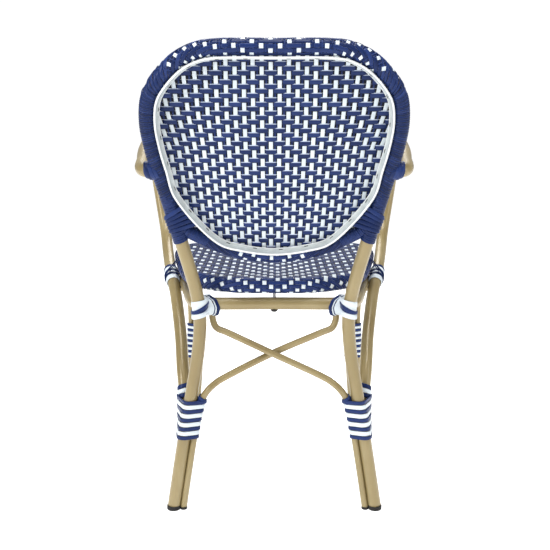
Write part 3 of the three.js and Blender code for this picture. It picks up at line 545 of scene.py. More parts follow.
class Edge:
    """The centre line of a tube that the fabric wraps, in the plane of the fabric."""

    def __init__(self, centre, cloth, turn, radius, reach, grazing=0.35, column_end=3.0):
        self.centre, self.cloth, self.grazing, self.column_end = centre, cloth, grazing, column_end
        rel = centre - cloth.origin
        self.flat = np.stack([rel @ cloth.first, rel @ cloth.second], axis=1)
        tangent = tangents(self.flat)
        self.out = turn * np.stack([tangent[:, 1], -tangent[:, 0]], axis=1)
        self.radius, self.reach = radius, reach

    def foot(self, flat):
        """Nearest place on the line, as a fractional index, and signed distance out of the opening."""
        index, away = [], []
        for part in np.array_split(flat, max(1, len(flat) // 4000)):
            square = np.sum(part**2, axis=1)[:, None] + np.sum(self.flat**2, axis=1)[None]
            square -= 2 * part @ self.flat.T
            near = np.clip(np.argmin(square, axis=1), 1, len(self.flat) - 2)
            a, b, c = (square[np.arange(len(part)), near + k] for k in (-1, 0, 1))
            near = near + np.clip(0.5 * (a - c) / np.maximum(a - 2 * b + c, 1e-9), -1, 1)
            index.append(near)
            away.append(np.sum((part - self.lerp(self.flat, near)) * self.outward(near), axis=1))
        return np.concatenate(index), np.concatenate(away)

    def lerp(self, table, place):
        low = np.clip(place.astype(int), 0, len(table) - 2)
        share = (place - low)[:, None]
        return table[low] * (1 - share) + table[low + 1] * share

    def outward(self, place):
        return unit(self.lerp(self.out, place))

    def wrap(self, place, away, lift):
        out = self.outward(place)
        out = out[:, :1] * self.cloth.first + out[:, 1:] * self.cloth.second
        angle = (away / self.radius)[:, None]
        way = self.cloth.front * np.cos(angle) + out * np.sin(angle)
        return self.lerp(self.centre, place) + way * (self.radius + lift)[:, None]


class Cloth:
    """Rows run along the first direction and are counted along the second. Columns cross them."""

    row_pitch = 7.77
    row_scan = (-330, 330.1)
    white_width, row_width = 7.2, 7.5
    row_thick, white_thick, narrow_thick = 1.9, 1.4, 1.3
    row_lift, white_lift, narrow_lift, calm_lift = 0.95, 0.7, 0.75, 0.1
    # Steps along a strand, the shortest one kept, and the fewest steps of a strand
    step, nearest, shortest = 2.0, 0.6, 8
    # Shares of a crossing: half the length of a bend, and where it lies between two columns or rows
    row_bend, column_bend = (0.13, 0.68), (0.27, 0.5)
    # How far inside a tube's axis strands are drawn in small steps, and how far its hold reaches
    row_rim, column_rim, hold = 8, 6, 12
    # Beyond both tubes by this much, a strand is in the corner where they meet
    meeting = 2

    def distances(self, flat):
        """Place on each edge and distance out of it, and the distance out of the nearest edge."""
        found = [edge.foot(flat) for edge in self.edges]
        return found, np.max([away for _, away in found], axis=0)

    def calm(self, flat):
        """Where the rows lie level instead of passing over and under the columns."""
        return np.zeros(len(flat))

    def place(self, flat, lift, which):
        """Points in space for flat places, with each one's edge given (or -1 inside)."""
        space = self.inside(flat, lift)
        for number, edge in enumerate(self.edges):
            pick = np.where(which == number)[0]
            if len(pick):
                index, away = edge.foot(flat[pick])
                over = away > 0
                space[pick[over]] = edge.wrap(index, np.maximum(away, 0), lift[pick])[over]
        return space

    def lay(self, build, flat, across, lift, width, thick, half, edge=0.0, groove=0.0):
        """One strand: flat centre places, their sideways direction, and its lift off the fabric."""
        found, away = self.distances(flat)
        which = np.argmax([d for _, d in found], axis=0)
        which[away < -self.hold] = -1
        shrink = 1 - self.flatten * smoothstep((away + 10) / 15)
        outline = section(half)
        n, m = len(flat), len(outline)
        offset = np.broadcast_to(width, n)[:, None] / 2 * outline[:, 0]
        places = flat[:, None] + np.array(across) * offset[:, :, None]
        rise = np.tile(outline[:, 1], (n, 1))
        rise[:, CREST] -= groove
        lifts = lift[:, None] * shrink[:, None] + rise * (thick * shrink / 2)[:, None]
        rings = self.place(places.reshape(-1, 2), lifts.ravel(), np.repeat(which, m)).reshape(n, m, 3)
        build.skin(rings, rng.random(), edge=edge)

    def valid(self, flat, column):
        """Where a strand may run, up to its reach round one tube, and the distance out of the opening."""
        found, away = self.distances(flat)
        good = np.ones(len(flat), bool)
        for (index, d), edge in zip(found, self.edges):
            limit = edge.reach
            if column:
                grazes = np.abs(edge.outward(index)[:, 1]) < edge.grazing
                limit = np.where(grazes, edge.column_end, limit)
            good &= d < limit
        if len(self.edges) > 1:
            good &= ~np.all([d > self.meeting for _, d in found], axis=0)
        return good, away

    def keys(self, first, levels, half, near):
        """Places along a strand, counted in crossings, where its lift is set."""
        places, lifts = [first - 0.5], [levels[0]]
        for i, (a, b) in enumerate(zip(levels, levels[1:])):
            if a != b:
                middle = first + i + (near if b > a else 1 - near)
                for share, blend in ((-1, 0), (-0.33, 0.26), (0.33, 0.74), (1, 1)):
                    places.append(middle + half * share)
                    lifts.append(a + (b - a) * blend)
        places.append(first + len(levels) - 0.5)
        lifts.append(levels[-1])
        return np.array(places), np.array(lifts)

    def line(self, strand, places, column):
        """Flat places of a row at its second coordinate, or of a column at its number."""
        if column:
            return np.stack([[self.column_at(strand, s) for s in places], places], axis=1)
        return np.stack([places, np.full(len(places), strand)], axis=1)

    def course(self, strand, column, scan, keyed, lift, rim):
        """Flat places of a strand and its lift there, from the keyed places where its lift is set.

        They are closer together round the tubes and where it bends. None stands for too short a strand."""
        scan = np.arange(*scan, self.step)
        good, away = self.valid(self.line(strand, scan, column), column)
        ends = np.flatnonzero(np.diff(np.concatenate([[0], good, [0]])))
        if not len(ends):
            return None, None
        longest = np.argmax(ends[1::2] - ends[::2])
        start, end = ends[2 * longest : 2 * longest + 2]
        if end - 1 - start < self.shortest:
            return None, None
        scan, away = scan[start:end], away[start:end]
        count = np.arange(len(scan))
        even = scan[((away > -rim) & (count % 2 == 0)) | (count % 8 == 0)]
        grid = np.unique(np.round(np.concatenate([keyed, even, scan[[0, -1]]]), 2))
        grid = grid[(grid >= scan[0]) & (grid <= scan[-1])]
        grid = grid[np.concatenate([[True], np.diff(grid) > self.nearest])]
        return self.line(strand, grid, column), np.interp(grid, keyed, lift)

    def row_light_and_shade(self, level, open_cloth, calm):
        """Painted highlight where the row bends over a column, painted shade where it dips, along its lower
        side, and along its crest where it lies level.
        """
        edge = np.zeros((len(level), 2 * len(PLAIN)))
        over, under = (np.clip(share, 0, 1) * open_cloth for share in (-level, level))
        edge[:, FRONT_FACE] = -(smoothstep((0.55 - level) / 1.1) * open_cloth)[:, None]
        edge[:, BACK_FACE] = -(smoothstep((0.55 + level) / 1.1) * open_cloth)[:, None]
        edge[:, BENT_SIDE] = over[:, None]
        edge[:, LOWER_SIDE] -= 0.8 * open_cloth
        edge[:, LOWER_BACK] -= 0.7 * over
        edge[:, LOWER_FRONT] -= 0.7 * under
        edge[:, CREST] -= 0.7 * calm
        return edge, over

    def weave_rows(self, build):
        columns = np.arange(-self.last_column - 1, self.last_column + 2)
        for row in range(self.row_range[0], self.row_range[1] + 1):
            second = self.first_row - self.row_pitch * row
            levels = [-self.row_lift if self.crossing(row, c) else self.row_lift for c in columns]
            place, lift = self.keys(columns[0], levels, *self.row_bend)
            keyed = np.interp(place, columns, [self.column_at(c, second) for c in columns])
            flat, lifts = self.course(second, False, self.row_scan, keyed, lift, self.row_rim)
            if flat is None:
                continue
            calm = self.calm(flat)
            lifts = lifts * (1 - calm) + self.calm_lift * calm
            open_cloth = smoothstep(-self.distances(flat)[1] / 10)
            edge, over = self.row_light_and_shade(lifts / self.row_lift, open_cloth, calm)
            width = self.row_width + over * self.over_width
            self.lay(build, flat, (0, -1), lifts, width, self.row_thick, PLAIN, edge, 0.75 * calm)

    def weave_columns(self, build, narrow):
        rows = np.arange(self.row_range[0], self.row_range[1] + 1)
        seconds = self.first_row - self.row_pitch * rows
        for column in np.arange(-self.last_column, self.last_column + 1) + (0.5 if narrow else 0):
            left = math.floor(column)
            sides = (left, math.ceil(column))
            over = self.narrow_lift if narrow else self.white_lift
            levels = [over if any(self.crossing(r, c) for c in sides) else -over for r in rows]
            place, lift = self.keys(rows[0], levels, *self.column_bend)
            keyed = np.interp(place, rows, seconds)
            keyed, lift = keyed[::-1], lift[::-1]
            flat, lifts = self.course(column, True, self.column_scan, keyed, lift, self.column_rim)
            if flat is None:
                continue
            if narrow:
                gap = np.array([self.column_at(left + 1, s) - self.column_at(left, s) for s in flat[:, 1]])
                width = np.clip((gap - self.white_width) * 0.45, 1.6, 2.7)
                self.lay(build, flat, (1, 0), lifts, width, self.narrow_thick, PLAIN)
            else:
                self.lay(build, flat, (1, 0), lifts, self.white_width, self.white_thick, GROOVED)


class BackCloth(Cloth):
    origin = on_back(0, RAIL_MIDDLE)
    first, second, front = ACROSS, UP, -REAR
    first_row, row_range, last_column, column_scan = 338.0, (-14, 51), 13, (-70, 460)
    over_width, flatten, hoop_radius, rail_radius = 2.4, 0.22, 13.7, 10.7
    middle_column, column_pitch, pitch_growth, growth_end = -6.0, 13.1, 0.0085, 265
    # Rows lie level where a tube runs steeper than this share
    hoop_level, rail_level = 0.4, 0.945

    def __init__(self):
        hoop = frame_path.sampled(1.5, RAIL_END_POINT - 2.5, frame_path.spans - RAIL_END_POINT + 2.5)
        rail = rail_path.sampled(1.5)
        beyond = np.arange(40, 0, -1.5)[:, None]
        before = rail[0] + beyond * unit(rail[0] - rail[2])
        after = rail[-1] + beyond[::-1] * unit(rail[-1] - rail[-3])
        rail = np.vstack([before, rail, after])
        self.edges = [
            Edge(hoop, self, 1, self.hoop_radius, 60.0, column_end=-8),
            Edge(rail, self, -1, self.rail_radius, 46.0, self.rail_level, -8),
        ]
        seconds = np.arange(120, 400, 2.0)
        self.hoop_second = []
        for column in range(self.last_column + 1):
            _, away = self.edges[0].foot(self.line(-column, seconds, True))
            self.hoop_second.append(seconds[np.argmax(away > -4)])

    def crossing(self, row, column):
        """Outside the hoop's centre line the outer columns show one row further down."""
        column = abs(column)
        second = self.first_row - self.row_pitch * row
        outer = column > 5 and second > self.hoop_second[min(column, self.last_column)]
        return (row - outer - column) % 3 == 0

    def column_at(self, column, second):
        """Columns fan out toward the top, the outer ones more than the others."""
        pitch = self.column_pitch + self.pitch_growth * min(second, self.growth_end)
        spread = 1 + 0.022 * max(0, abs(column) - 5) * min(max((second - 200) / 150, 0), 1)
        return self.middle_column + column * pitch * spread

    def inside(self, flat, lift):
        ahead = self.hoop_radius + 2.5 * smoothstep(-self.distances(flat)[1] / 30) + lift
        plane = self.origin + flat[:, :1] * self.first + flat[:, 1:] * self.second
        return plane + self.front * ahead[:, None]

    def calm(self, flat):
        """Rows lie level round the posts, and round the rail beside its middle part."""
        share = np.zeros(len(flat))
        for edge, limit in zip(self.edges, (self.hoop_level, self.rail_level)):
            index, away = edge.foot(flat)
            facing = np.abs(edge.outward(index)[:, 1])
            turned = smoothstep((limit + 0.01 - facing) / (0.1 * (1 - limit) + 0.01))
            share = np.maximum(share, smoothstep((away + 12) / 8) * turned)
        return share


class SeatCloth(Cloth):
    origin = np.array([0, 0, SEAT_Z])
    first, second, front = ACROSS, AHEAD, RISING
    first_row, row_range, last_column, column_scan = 248.5, (-6, 63), 14, (-248, 305)
    row_width, over_width, white_width = 7.4, 1.8, 7.8
    row_lift, white_lift, flatten, radius = 0.8, 1.15, 0.1, 14.6
    # The middle column, and how far beside it the others are, further apart toward the sides
    middle_column = 6.7
    spots = [0, 12.6, 25.4, 37.6, 49.6, 61.8, 76.3, 92.4, 109.2, *(126.5 + 17 * k for k in range(6)), 228]

    def __init__(self):
        loop = seat_path.sampled(1.5)
        loop = np.vstack([loop[-50:-1], loop, loop[1:50]])
        self.edges = [Edge(loop, self, 1, self.radius, 61.0)]
        self.middle = np.array([0, (SEAT_BACK + SEAT_FRONT) / 2])
        rel = self.edges[0].flat[49:-50] - self.middle
        angle = np.arctan2(rel[:, 1], rel[:, 0])
        order = np.argsort(angle)
        self.rim_angle, self.rim = angle[order], np.linalg.norm(rel, axis=1)[order]
        half = seat_path.sampled(2, 0, seat_path.spans / 2)
        self.roll_rows = []
        for column in range(self.last_column + 1):
            x = self.column_at(-column, 0)
            crossed = np.where(np.diff(np.sign(half[:, 0] + min(0, x))))[0]
            seconds = half[crossed, 1] if len(crossed) > 1 else np.array([SEAT_BACK, SEAT_FRONT])
            rows = (self.first_row - seconds) / self.row_pitch
            rear = math.floor(rows.max() + 1.2) + (5 < column < 10)
            self.roll_rows.append((math.ceil(rows.min() - 0.9), rear))

    def crossing(self, row, column):
        """Single rows round the rolls, and pairs of rows that run together between them."""
        column = abs(column)
        front, rear = self.roll_rows[min(column, self.last_column)]
        if row >= rear:
            return (row - rear + column) % 3 == 0
        if row <= front:
            return (row - front - column) % 3 == 0
        return ((56 - row) // 2 - column) % 3 == 2

    def column_at(self, column, second):
        spot = np.interp(abs(column), np.arange(len(self.spots)), self.spots)
        return self.middle_column + math.copysign(1, column) * spot

    def inside(self, flat, lift):
        rel = flat - self.middle
        rim = np.interp(np.arctan2(rel[:, 1], rel[:, 0]), self.rim_angle, self.rim)
        near = np.clip(np.linalg.norm(rel, axis=1) / rim, 0, 1)
        sag = SEAT_SAG * (1 - near**2.6)
        return self.origin + np.stack([flat[:, 0], flat[:, 1], self.radius - sag + lift], axis=1)


# Materials

Look = namedtuple("Look", "material slot")


class Nodes:
    """Short ways to add the nodes of one material."""

    def __init__(self, name, slot=None, **inputs):
        self.material = bpy.data.materials.new(name)
        self.slot = slot or name
        self.material.use_nodes = True
        self.tree = self.material.node_tree
        self.shader = self.tree.nodes["Principled BSDF"]
        for key, value in inputs.items():
            self.feed(self.shader.inputs[key.replace("_", " ")], value)

    def feed(self, socket, value):
        """Link a value into a socket, or set it there."""
        if isinstance(value, bpy.types.NodeSocket):
            self.tree.links.new(value, socket)
        else:
            socket.default_value = value

    def add(self, kind, **values):
        node = self.tree.nodes.new(kind)
        for key, value in values.items():
            if key in node.inputs:
                self.feed(node.inputs[key], value)
            else:
                setattr(node, key, value)
        return node

    def place(self, scale=(1, 1, 1)):
        place = self.add("ShaderNodeTexCoord").outputs["Object"]
        return self.stretch(place, scale)

    def attribute(self, name):
        return self.add("ShaderNodeAttribute", attribute_name=name).outputs["Fac"]

    def noise(self, vector, scale, detail):
        return self.add("ShaderNodeTexNoise", Vector=vector, Scale=scale, Detail=detail).outputs["Fac"]

    def ramp(self, factor, *stops):
        node = self.add("ShaderNodeValToRGB", Fac=factor)
        elements = node.color_ramp.elements
        while len(elements) < len(stops):
            elements.new(0.5)
        for element, (place, color) in zip(elements, stops):
            element.position = place
            element.color = (*color, 1) if isinstance(color, tuple) else (color, color, color, 1)
        return node.outputs["Color"]

    def blend(self, color, added, factor, *stops):
        """A colour with another one over it, as far as a ramp of the factor says."""
        node = self.add("ShaderNodeMix", data_type="RGBA")
        sides = [side if isinstance(side, bpy.types.NodeSocket) else (*side, 1) for side in (color, added)]
        for socket, value in zip((0, 6, 7), (self.ramp(factor, *stops), *sides)):
            self.feed(node.inputs[socket], value)
        return node.outputs[2]

    def sum(self, first, second, share):
        """First plus a share of second."""
        node = self.add("ShaderNodeMath", operation="MULTIPLY_ADD")
        for socket, value in enumerate((second, share, first)):
            self.feed(node.inputs[socket], value)
        return node.outputs[0]

    def stretch(self, vector, scale):
        return self.add("ShaderNodeMapping", Vector=vector, Scale=scale).outputs["Vector"]

    def look(self, color, rough, height, strength, distance):
        bump = self.add("ShaderNodeBump", Height=height, Strength=strength, Distance=distance)
        outputs = {"Base Color": color, "Roughness": rough, "Normal": bump.outputs["Normal"]}
        for name, output in outputs.items():
            self.feed(self.shader.inputs[name], output)
        return Look(self.material, self.slot)


def strand_look(name, dark, light, groove, pale, **gloss):
    """Extruded plastic strand: fine streaks along it, a tint of its own, a painted highlight where it is
    bent over a column, and painted shade in its recesses.
    """
    nodes = Nodes(name, **gloss)
    uv = nodes.add("ShaderNodeUVMap", uv_map="strand").outputs["UV"]
    tint, edge = nodes.attribute("tint"), nodes.attribute("edge")
    streak = nodes.noise(nodes.stretch(uv, (0.02, 14, 1)), 1.0, 2.0)
    cloud = nodes.noise(nodes.place(), 60.0, 3.0)
    own = nodes.sum(nodes.sum(0.0, tint, 0.5), streak, 0.6)
    color = nodes.blend(dark, light, own, (0.25, 0.0), (0.85, 1.0))
    color = nodes.blend(color, groove, cloud, (0.3, 0.0), (0.75, 0.3))
    # Painted highlight: the pale colour where the edge attribute is over 0
    color = nodes.blend(color, pale, edge, (0.2, 0.0), (0.7, 0.95))
    # Painted shade: near black where the edge attribute is under 0, in recesses
    recess_shade = nodes.sum(0.0, edge, -1.0)
    color = nodes.blend(color, (0.001, 0.002, 0.008), recess_shade, (0.05, 0.0), (0.8, 0.96))
    rough = nodes.ramp(cloud, (0.3, 0.3), (0.7, 0.44))
    return nodes.look(color, rough, nodes.sum(streak, cloud, 0.4), 0.25, 0.0004)


def paint_look():
    """Painted metal with a soft cloudy shade and fine scratches."""
    gloss = {"Specular_IOR_Level": 0.45, "Coat_Weight": 0.45, "Coat_Roughness": 0.16}
    nodes = Nodes("frame_paint", Metallic=0.1, **gloss)
    cloud = nodes.noise(nodes.place((1, 1, 0.5)), 14.0, 4.0)
    fine = nodes.noise(nodes.place((1, 1, 0.12)), 420.0, 2.0)
    speck = nodes.noise(nodes.place(), 900.0, 1.0)
    dark, middle, light = (0.25, 0.187, 0.076), (0.298, 0.231, 0.1), (0.36, 0.288, 0.145)
    color = nodes.ramp(cloud, (0.3, dark), (0.52, middle), (0.75, light))
    color = nodes.blend(color, (0.28, 0.20, 0.085), fine, (0.35, 0.0), (0.75, 0.3))
    color = nodes.blend(color, (0.24, 0.18, 0.09), speck, (0.68, 0.0), (0.76, 0.35))
    rough = nodes.ramp(cloud, (0.3, 0.32), (0.7, 0.46))
    return nodes.look(color, rough, nodes.sum(fine, speck, 0.6), 0.12, 0.0003)


def band_look():
    """Pale plastic strip, speckled, with a painted highlight on its lips."""
    nodes = Nodes("band_plastic", Specular_IOR_Level=0.3)
    cloud = nodes.noise(nodes.place(), 70.0, 4.0)
    speck = nodes.noise(nodes.place(), 700.0, 2.0)
    color = nodes.ramp(cloud, (0.3, (0.47, 0.51, 0.51)), (0.7, (0.59, 0.635, 0.635)))
    color = nodes.blend(color, (0.40, 0.43, 0.42), speck, (0.5, 0.0), (0.72, 0.5))
    # Painted highlight on the lips, where the edge attribute is 1
    color = nodes.blend(color, (0.86, 0.88, 0.88), nodes.attribute("edge"), (0.4, 0.0), (0.9, 0.9))
    return nodes.look(color, nodes.ramp(speck, (0.3, 0.42), (0.7, 0.6)), speck, 0.3, 0.0004)


def rubber_look():
    nodes = Nodes("rubber", Specular_IOR_Level=0.35)
    grain = nodes.noise(nodes.place(), 900.0, 3.0)
    dust = nodes.noise(nodes.place(), 50.0, 4.0)
    color = nodes.blend((0.012, 0.012, 0.013), (0.06, 0.055, 0.05), dust, (0.45, 0.0), (0.8, 0.5))
    return nodes.look(color, nodes.ramp(dust, (0.3, 0.55), (0.7, 0.8)), grain, 0.35, 0.0004)


def steel_look(name, dark, light):
    nodes = Nodes(name, "bolt_steel", Metallic=1.0)
    brushed = nodes.noise(nodes.place((1, 1, 8)), 500.0, 2.0)
    color = nodes.ramp(brushed, (0.3, dark), (0.7, light))
    return nodes.look(color, nodes.ramp(brushed, (0.3, 0.3), (0.7, 0.45)), brushed, 0.15, 0.0003)


paint = paint_look()
# The fourth colour of each strand is its painted highlight where a row bends over a column
navy = strand_look(
    "navy_strand", (0.007, 0.018, 0.08), (0.022, 0.044, 0.165), (0.003, 0.009, 0.04), (0.62, 0.7, 0.86),
    Specular_IOR_Level=0.14, Coat_Weight=0.07, Coat_Roughness=0.15,
)
white = strand_look(
    "white_strand", (0.66, 0.73, 0.78), (0.76, 0.83, 0.87), (0.58, 0.65, 0.71), (0.84, 0.9, 0.92),
    Specular_IOR_Level=0.35, Coat_Weight=0.15, Coat_Roughness=0.3,
)
band = band_look()
rubber = rubber_look()
steel = steel_look("bolt_steel", (0.1, 0.1, 0.105), (0.3, 0.3, 0.31))
dark_steel = steel_look("staple_steel", (0.02, 0.02, 0.022), (0.06, 0.06, 0.065))


# Pieces


def tube(name, points, radius, node, closed=False):
    build = Build()
    build.skin(tube_rings(points, radius, closed), closed=closed)
    build.piece(name, paint, [node])


def add_tubes():
    start = frame_path.where(2, TUBE_START, 0, TOP)
    tube("frame_tube", frame_path.sampled(5, start, frame_path.spans - start), TUBE, "back_frame")
    tube("rail_tube", rail_path.sampled(5), RAIL_TUBE, "back_lower_rail")
    tube("ring_tube", ring_path.sampled(5)[:-1], RING_TUBE, "seat_rail", True)
    tube("seat_frame_tube", seat_path.sampled(5)[:-1], SEAT_TUBE, "seat_frame", True)
    arm = arm_path.sampled(5, 0.1)
    leg = front_path.sampled(5, 0, front_path.where(2, TUBE_START, 0, front_path.spans))
    side = side_path.sampled(4, 0, side_path.where(2, THIN_START, 0, side_path.spans))

    def side_tubes(*builds):
        for build, points, radius in zip(builds, (arm, leg, side), (TUBE, TUBE, THIN_TUBE)):
            build.skin(tube_rings(points, radius))

    add_pair(
        side_tubes, ("arm_tube", paint, "arm"), ("front_leg_tube", paint, "front_leg"),
        ("side_brace_tube", paint, "side_brace"),
    )
    rear = rear_cross.sampled(4, 0, rear_cross.where(2, THIN_START, 5, rear_cross.spans))
    front = front_cross.sampled(4, 0, front_cross.where(2, THIN_START, 5, front_cross.spans))
    tube("cross_brace_left", rear, THIN_TUBE, "x_brace_left")
    tube("cross_brace_right", mirror(front), THIN_TUBE, "x_brace_right")


def add_cloth(name, cloth, row_nodes, nodes):
    rows, whites, thins = Build(), Build(), Build()
    cloth.weave_rows(rows)
    cloth.weave_columns(whites, False)
    cloth.weave_columns(thins, True)
    rows.piece(f"{name}_rows", navy, row_nodes)
    whites.piece(f"{name}_columns", white, nodes)
    thins.piece(f"{name}_thin_columns", navy, nodes)


WRAPS = ["hoop_wrap", "lower_rail_wrap"]
FAN_HEIGHTS, FAN_DROP = np.arange(561.0, 597, 7.4), 9
LEVEL = (ACROSS, AHEAD, RISING)


def add_posts():
    """Turns round the posts below the woven back, round the ends of its lower rail, and round both."""
    low, high = (frame_path.where(2, height, 0, TOP) for height in (POST_END, POST_TOP))
    post = frame_path.sampled(2, low, high)
    rail = rail_path.sampled(2, 0.05, rail_path.where(0, RAIL_TURNS_END, rail_path.spans / 2, 0))
    strip = Curve(band_points(), closed=True)
    turns = Build()
    for mirrored in (False, True):
        build = Build()
        wind(build, post, TUBE + CLEAR + 0.9, pitch=7.9, width=7.7, thick=1.7, start=0.6, half=RIBBED)
        radius = RAIL_TUBE + CLEAR + 0.9
        wind(build, rail, radius, pitch=7.6, width=7.4, thick=1.7, start=0.4, lean=-1, half=RIBBED)
        for height in FAN_HEIGHTS:
            rim = strip.spot(2, height, 1, strip.spans / 2)
            outer = frame_at(height - FAN_DROP)
            circles = [(outer[0], outer[1], TUBE + CLEAR + 1.3), (rim[0] + 10, rim[1] - 1.5, 2.6)]
            slope = -FAN_DROP / max(outer[0] - rim[0] - 10, 12)
            belt(build, circles, LEVEL, height - FAN_DROP / 2, (slope, 0), width=7.6, thick=1.9)
        if mirrored:
            build.mirror()
        turns.join(build)
    turns.piece("post_turns", navy, WRAPS)


# Outline of the band: places across it and through it, and 1 where its skin is paler, a painted highlight
# on its lips
BAND_OUTLINE = [
    (-9, -1.5, 0), (9, -1.5, 1), (9, 1.0, 1), (8.4, 1.7, 1), (7.3, 1.7, 1), (6.5, 0.9, 0), (0, 0.7, 0),
    (-6.5, 0.9, 0), (-7.3, 1.7, 1), (-8.4, 1.7, 1), (-9, 1.0, 1),
]
# Outline of a staple: places along it and off the band
STAPLE = [(-3.4, -0.6), (-3.3, 0.9), (-2.4, 1.35), (0, 1.4), (2.4, 1.35), (3.3, 0.9), (3.4, -0.6)]
STAPLE_START, STAPLE_PITCH = 24, 49


def band_place(path, i, turn, reach):
    inward = turn * unit(np.cross(REAR, path.tangent(i)[0]))
    return path.points[i] + inward * reach * math.sin(BAND_TILT) + REAR * reach * math.cos(BAND_TILT)


def band_points():
    half = [band_place(frame_path, i, 1, HOOP_BAND) for i in range(int(TOP), RAIL_END_POINT, -1)]
    lower = [band_place(rail_path, i, -1, RAIL_BAND) for i in range(2, rail_path.spans // 2 + 1)]
    half = np.array(half + [place - UP * 2.4 + REAR * 0.6 for place in lower])
    return np.vstack([half, mirror(half[1:-1])[::-1]])


def add_band():
    path = Curve(band_points(), closed=True)
    points = path.sampled(3)[:-1]
    tangent = tangents(points, closed=True)
    inward = unit(np.cross(tangent, REAR))
    inward *= np.sign(np.sum(inward * (points.mean(axis=0) - points), axis=1))[:, None]
    out = inward * math.sin(BAND_TILT) + REAR * math.cos(BAND_TILT)
    wide = REAR * math.sin(BAND_TILT) - inward * math.cos(BAND_TILT)
    outline = np.array(BAND_OUTLINE, float)
    build = Build()
    build.skin(rings_along(points, wide, out, outline[:, :2]), closed=True, edge=outline[:, 2])
    build.piece("edge_band", band, ["border_band"])
    staples = Build()
    length = lengths(points)
    for place in np.arange(STAPLE_START, length[-1], STAPLE_PITCH):
        i = int(np.argmin(np.abs(length - place)))
        reach, rise = np.hsplit(np.array(STAPLE), 2)
        way = unit(tangent[i] + wide[i] * rng.uniform(-0.15, 0.15))
        line = points[i] - wide[i] * 4.2 + way * reach + out[i] * rise
        staples.skin(strand_rings(line, np.tile(out[i], (len(line), 1)), 1.7, 0.9, PLAIN))
    staples.piece("band_staples", dark_steel)


def blue_and_white(*names):
    """Labels of a blue and a white piece, from names with {} for the colour: the piece's and its node's."""
    labels = []
    for word, look in (("blue", navy), ("white", white)):
        name, *node = (label.format(word) for label in names)
        labels.append((name, look, *node))
    return labels


def add_ankles():
    """Blue and white turns round the tubes that meet at each ankle, and a knot above each rear one."""
    leg = upright(frame_path, TUBE, 0, TOP)
    brace = upright(rear_cross, THIN_TUBE, 5, rear_cross.spans)
    arm = upright(arm_path, TUBE, LOWER_ARM, arm_path.spans, ARM_END - TUBE / 2)
    front = upright(front_path, TUBE, 0, front_path.spans)
    side = upright(side_path, THIN_TUBE, 0, side_path.spans)
    low, high = (rear_cross.where(2, z, 5, rear_cross.spans) for z in (207.0, 219.0))
    # The piece of each side holds the knot of the other side
    knot = mirror(rear_cross.sampled(1, high, low))

    def ankle(blue, pale, members, bottom, blue_width, white_width, turns):
        pitch = blue_width + white_width + 1.6
        first = bottom + blue_width / 2
        wind_bundle(blue, members, first, blue_width, pitch, turns)
        wind_bundle(pale, members, first + pitch / 2, white_width, pitch, turns - 1)

    def rear_ankle(blue, pale):
        ankle(blue, pale, [leg, brace, arm], bottom=140.0, blue_width=7.3, white_width=8.3, turns=4.5)
        wind(blue, knot, THIN_TUBE + CLEAR + 1.4, pitch=9.0, width=8.4, thick=2.0, start=2.4, half=SOFT)

    def front_ankle(blue, pale):
        ankle(blue, pale, [front, side], bottom=168.0, blue_width=5.9, white_width=5.9, turns=6.5)

    add_pair(rear_ankle, *blue_and_white("rear_ankle_{}_turns", "rear_ankle_{}"))
    add_pair(front_ankle, *blue_and_white("front_ankle_{}_turns", "front_ankle_{}"))


# Loop round the ring beside the leg: place along the ring and height by eighths of a turn from the rear
LOOP_PLACES = [106.2, 112, 127, 133, 134, 129, 119, 109, 106.2]
LOOP_RISES = [-5, 8, 15, 9, -4, -16, -23, -18, -5]
LOOP_END = 147.0


def ring_loop(build, shift, grow, width, thick):
    """A slanting loop round the ring, shifted along it and grown away from it."""
    angle = np.radians(np.arange(0, 360, 4.0))
    eighth = np.arange(9) * math.pi / 4
    x = np.minimum(np.interp(angle, eighth, LOOP_PLACES) + shift, LOOP_END)
    z = np.interp(angle, eighth, LOOP_RISES) * (1 + grow / 16)
    for _ in range(6):
        x, z = ((line + np.roll(line, 1) + np.roll(line, -1)) / 3 for line in (x, z))
    y = RING_BACK - (RING_TUBE + CLEAR + 1.2 + grow) * np.cos(angle)
    out = np.stack([0 * angle, -np.cos(angle), np.sin(angle)], axis=1)
    build.strand(np.stack([x, y, RING_Z + z], axis=1), out, width, thick, SOFT, closed=True)


def rear_lashing(pale, blue):
    """Blue and white strands that tie the rear corner of the ring to a leg."""
    leg = frame_at(LASHING_Z)
    circles = [(leg[0], leg[1], TUBE + CLEAR), (leg[0] - 6, RING_BACK + 6, RING_TUBE + CLEAR)]
    # Heights, slopes, widths and thicknesses
    belts = [
        (pale, 396.0, (-0.2, 0), 26.0, 0.8), (pale, 407.0, (-0.2, 0), 10.0, 2.0),
        (pale, 383.0, (-0.22, 0), 9.5, 2.0), (blue, 397.5, (-0.48, 0.1), 6.4, 3.0),
        (blue, 394.0, (-0.26, 0.1), 6.4, 2.2),
    ]
    for build, height, slope, width, thick in belts:
        belt(build, circles, LEVEL, height, slope, width, thick)
    ring_loop(blue, 0.0, grow=1.2, width=6.2, thick=2.4)
    ring_loop(pale, 4.5, grow=1.4, width=2.3, thick=1.8)
    ring_loop(blue, 6.6, grow=0.9, width=2.0, thick=1.2)
    for shift in (11.5, 19.5, 27.5):
        ring_loop(pale, shift, grow=0.4, width=9.0, thick=1.8)


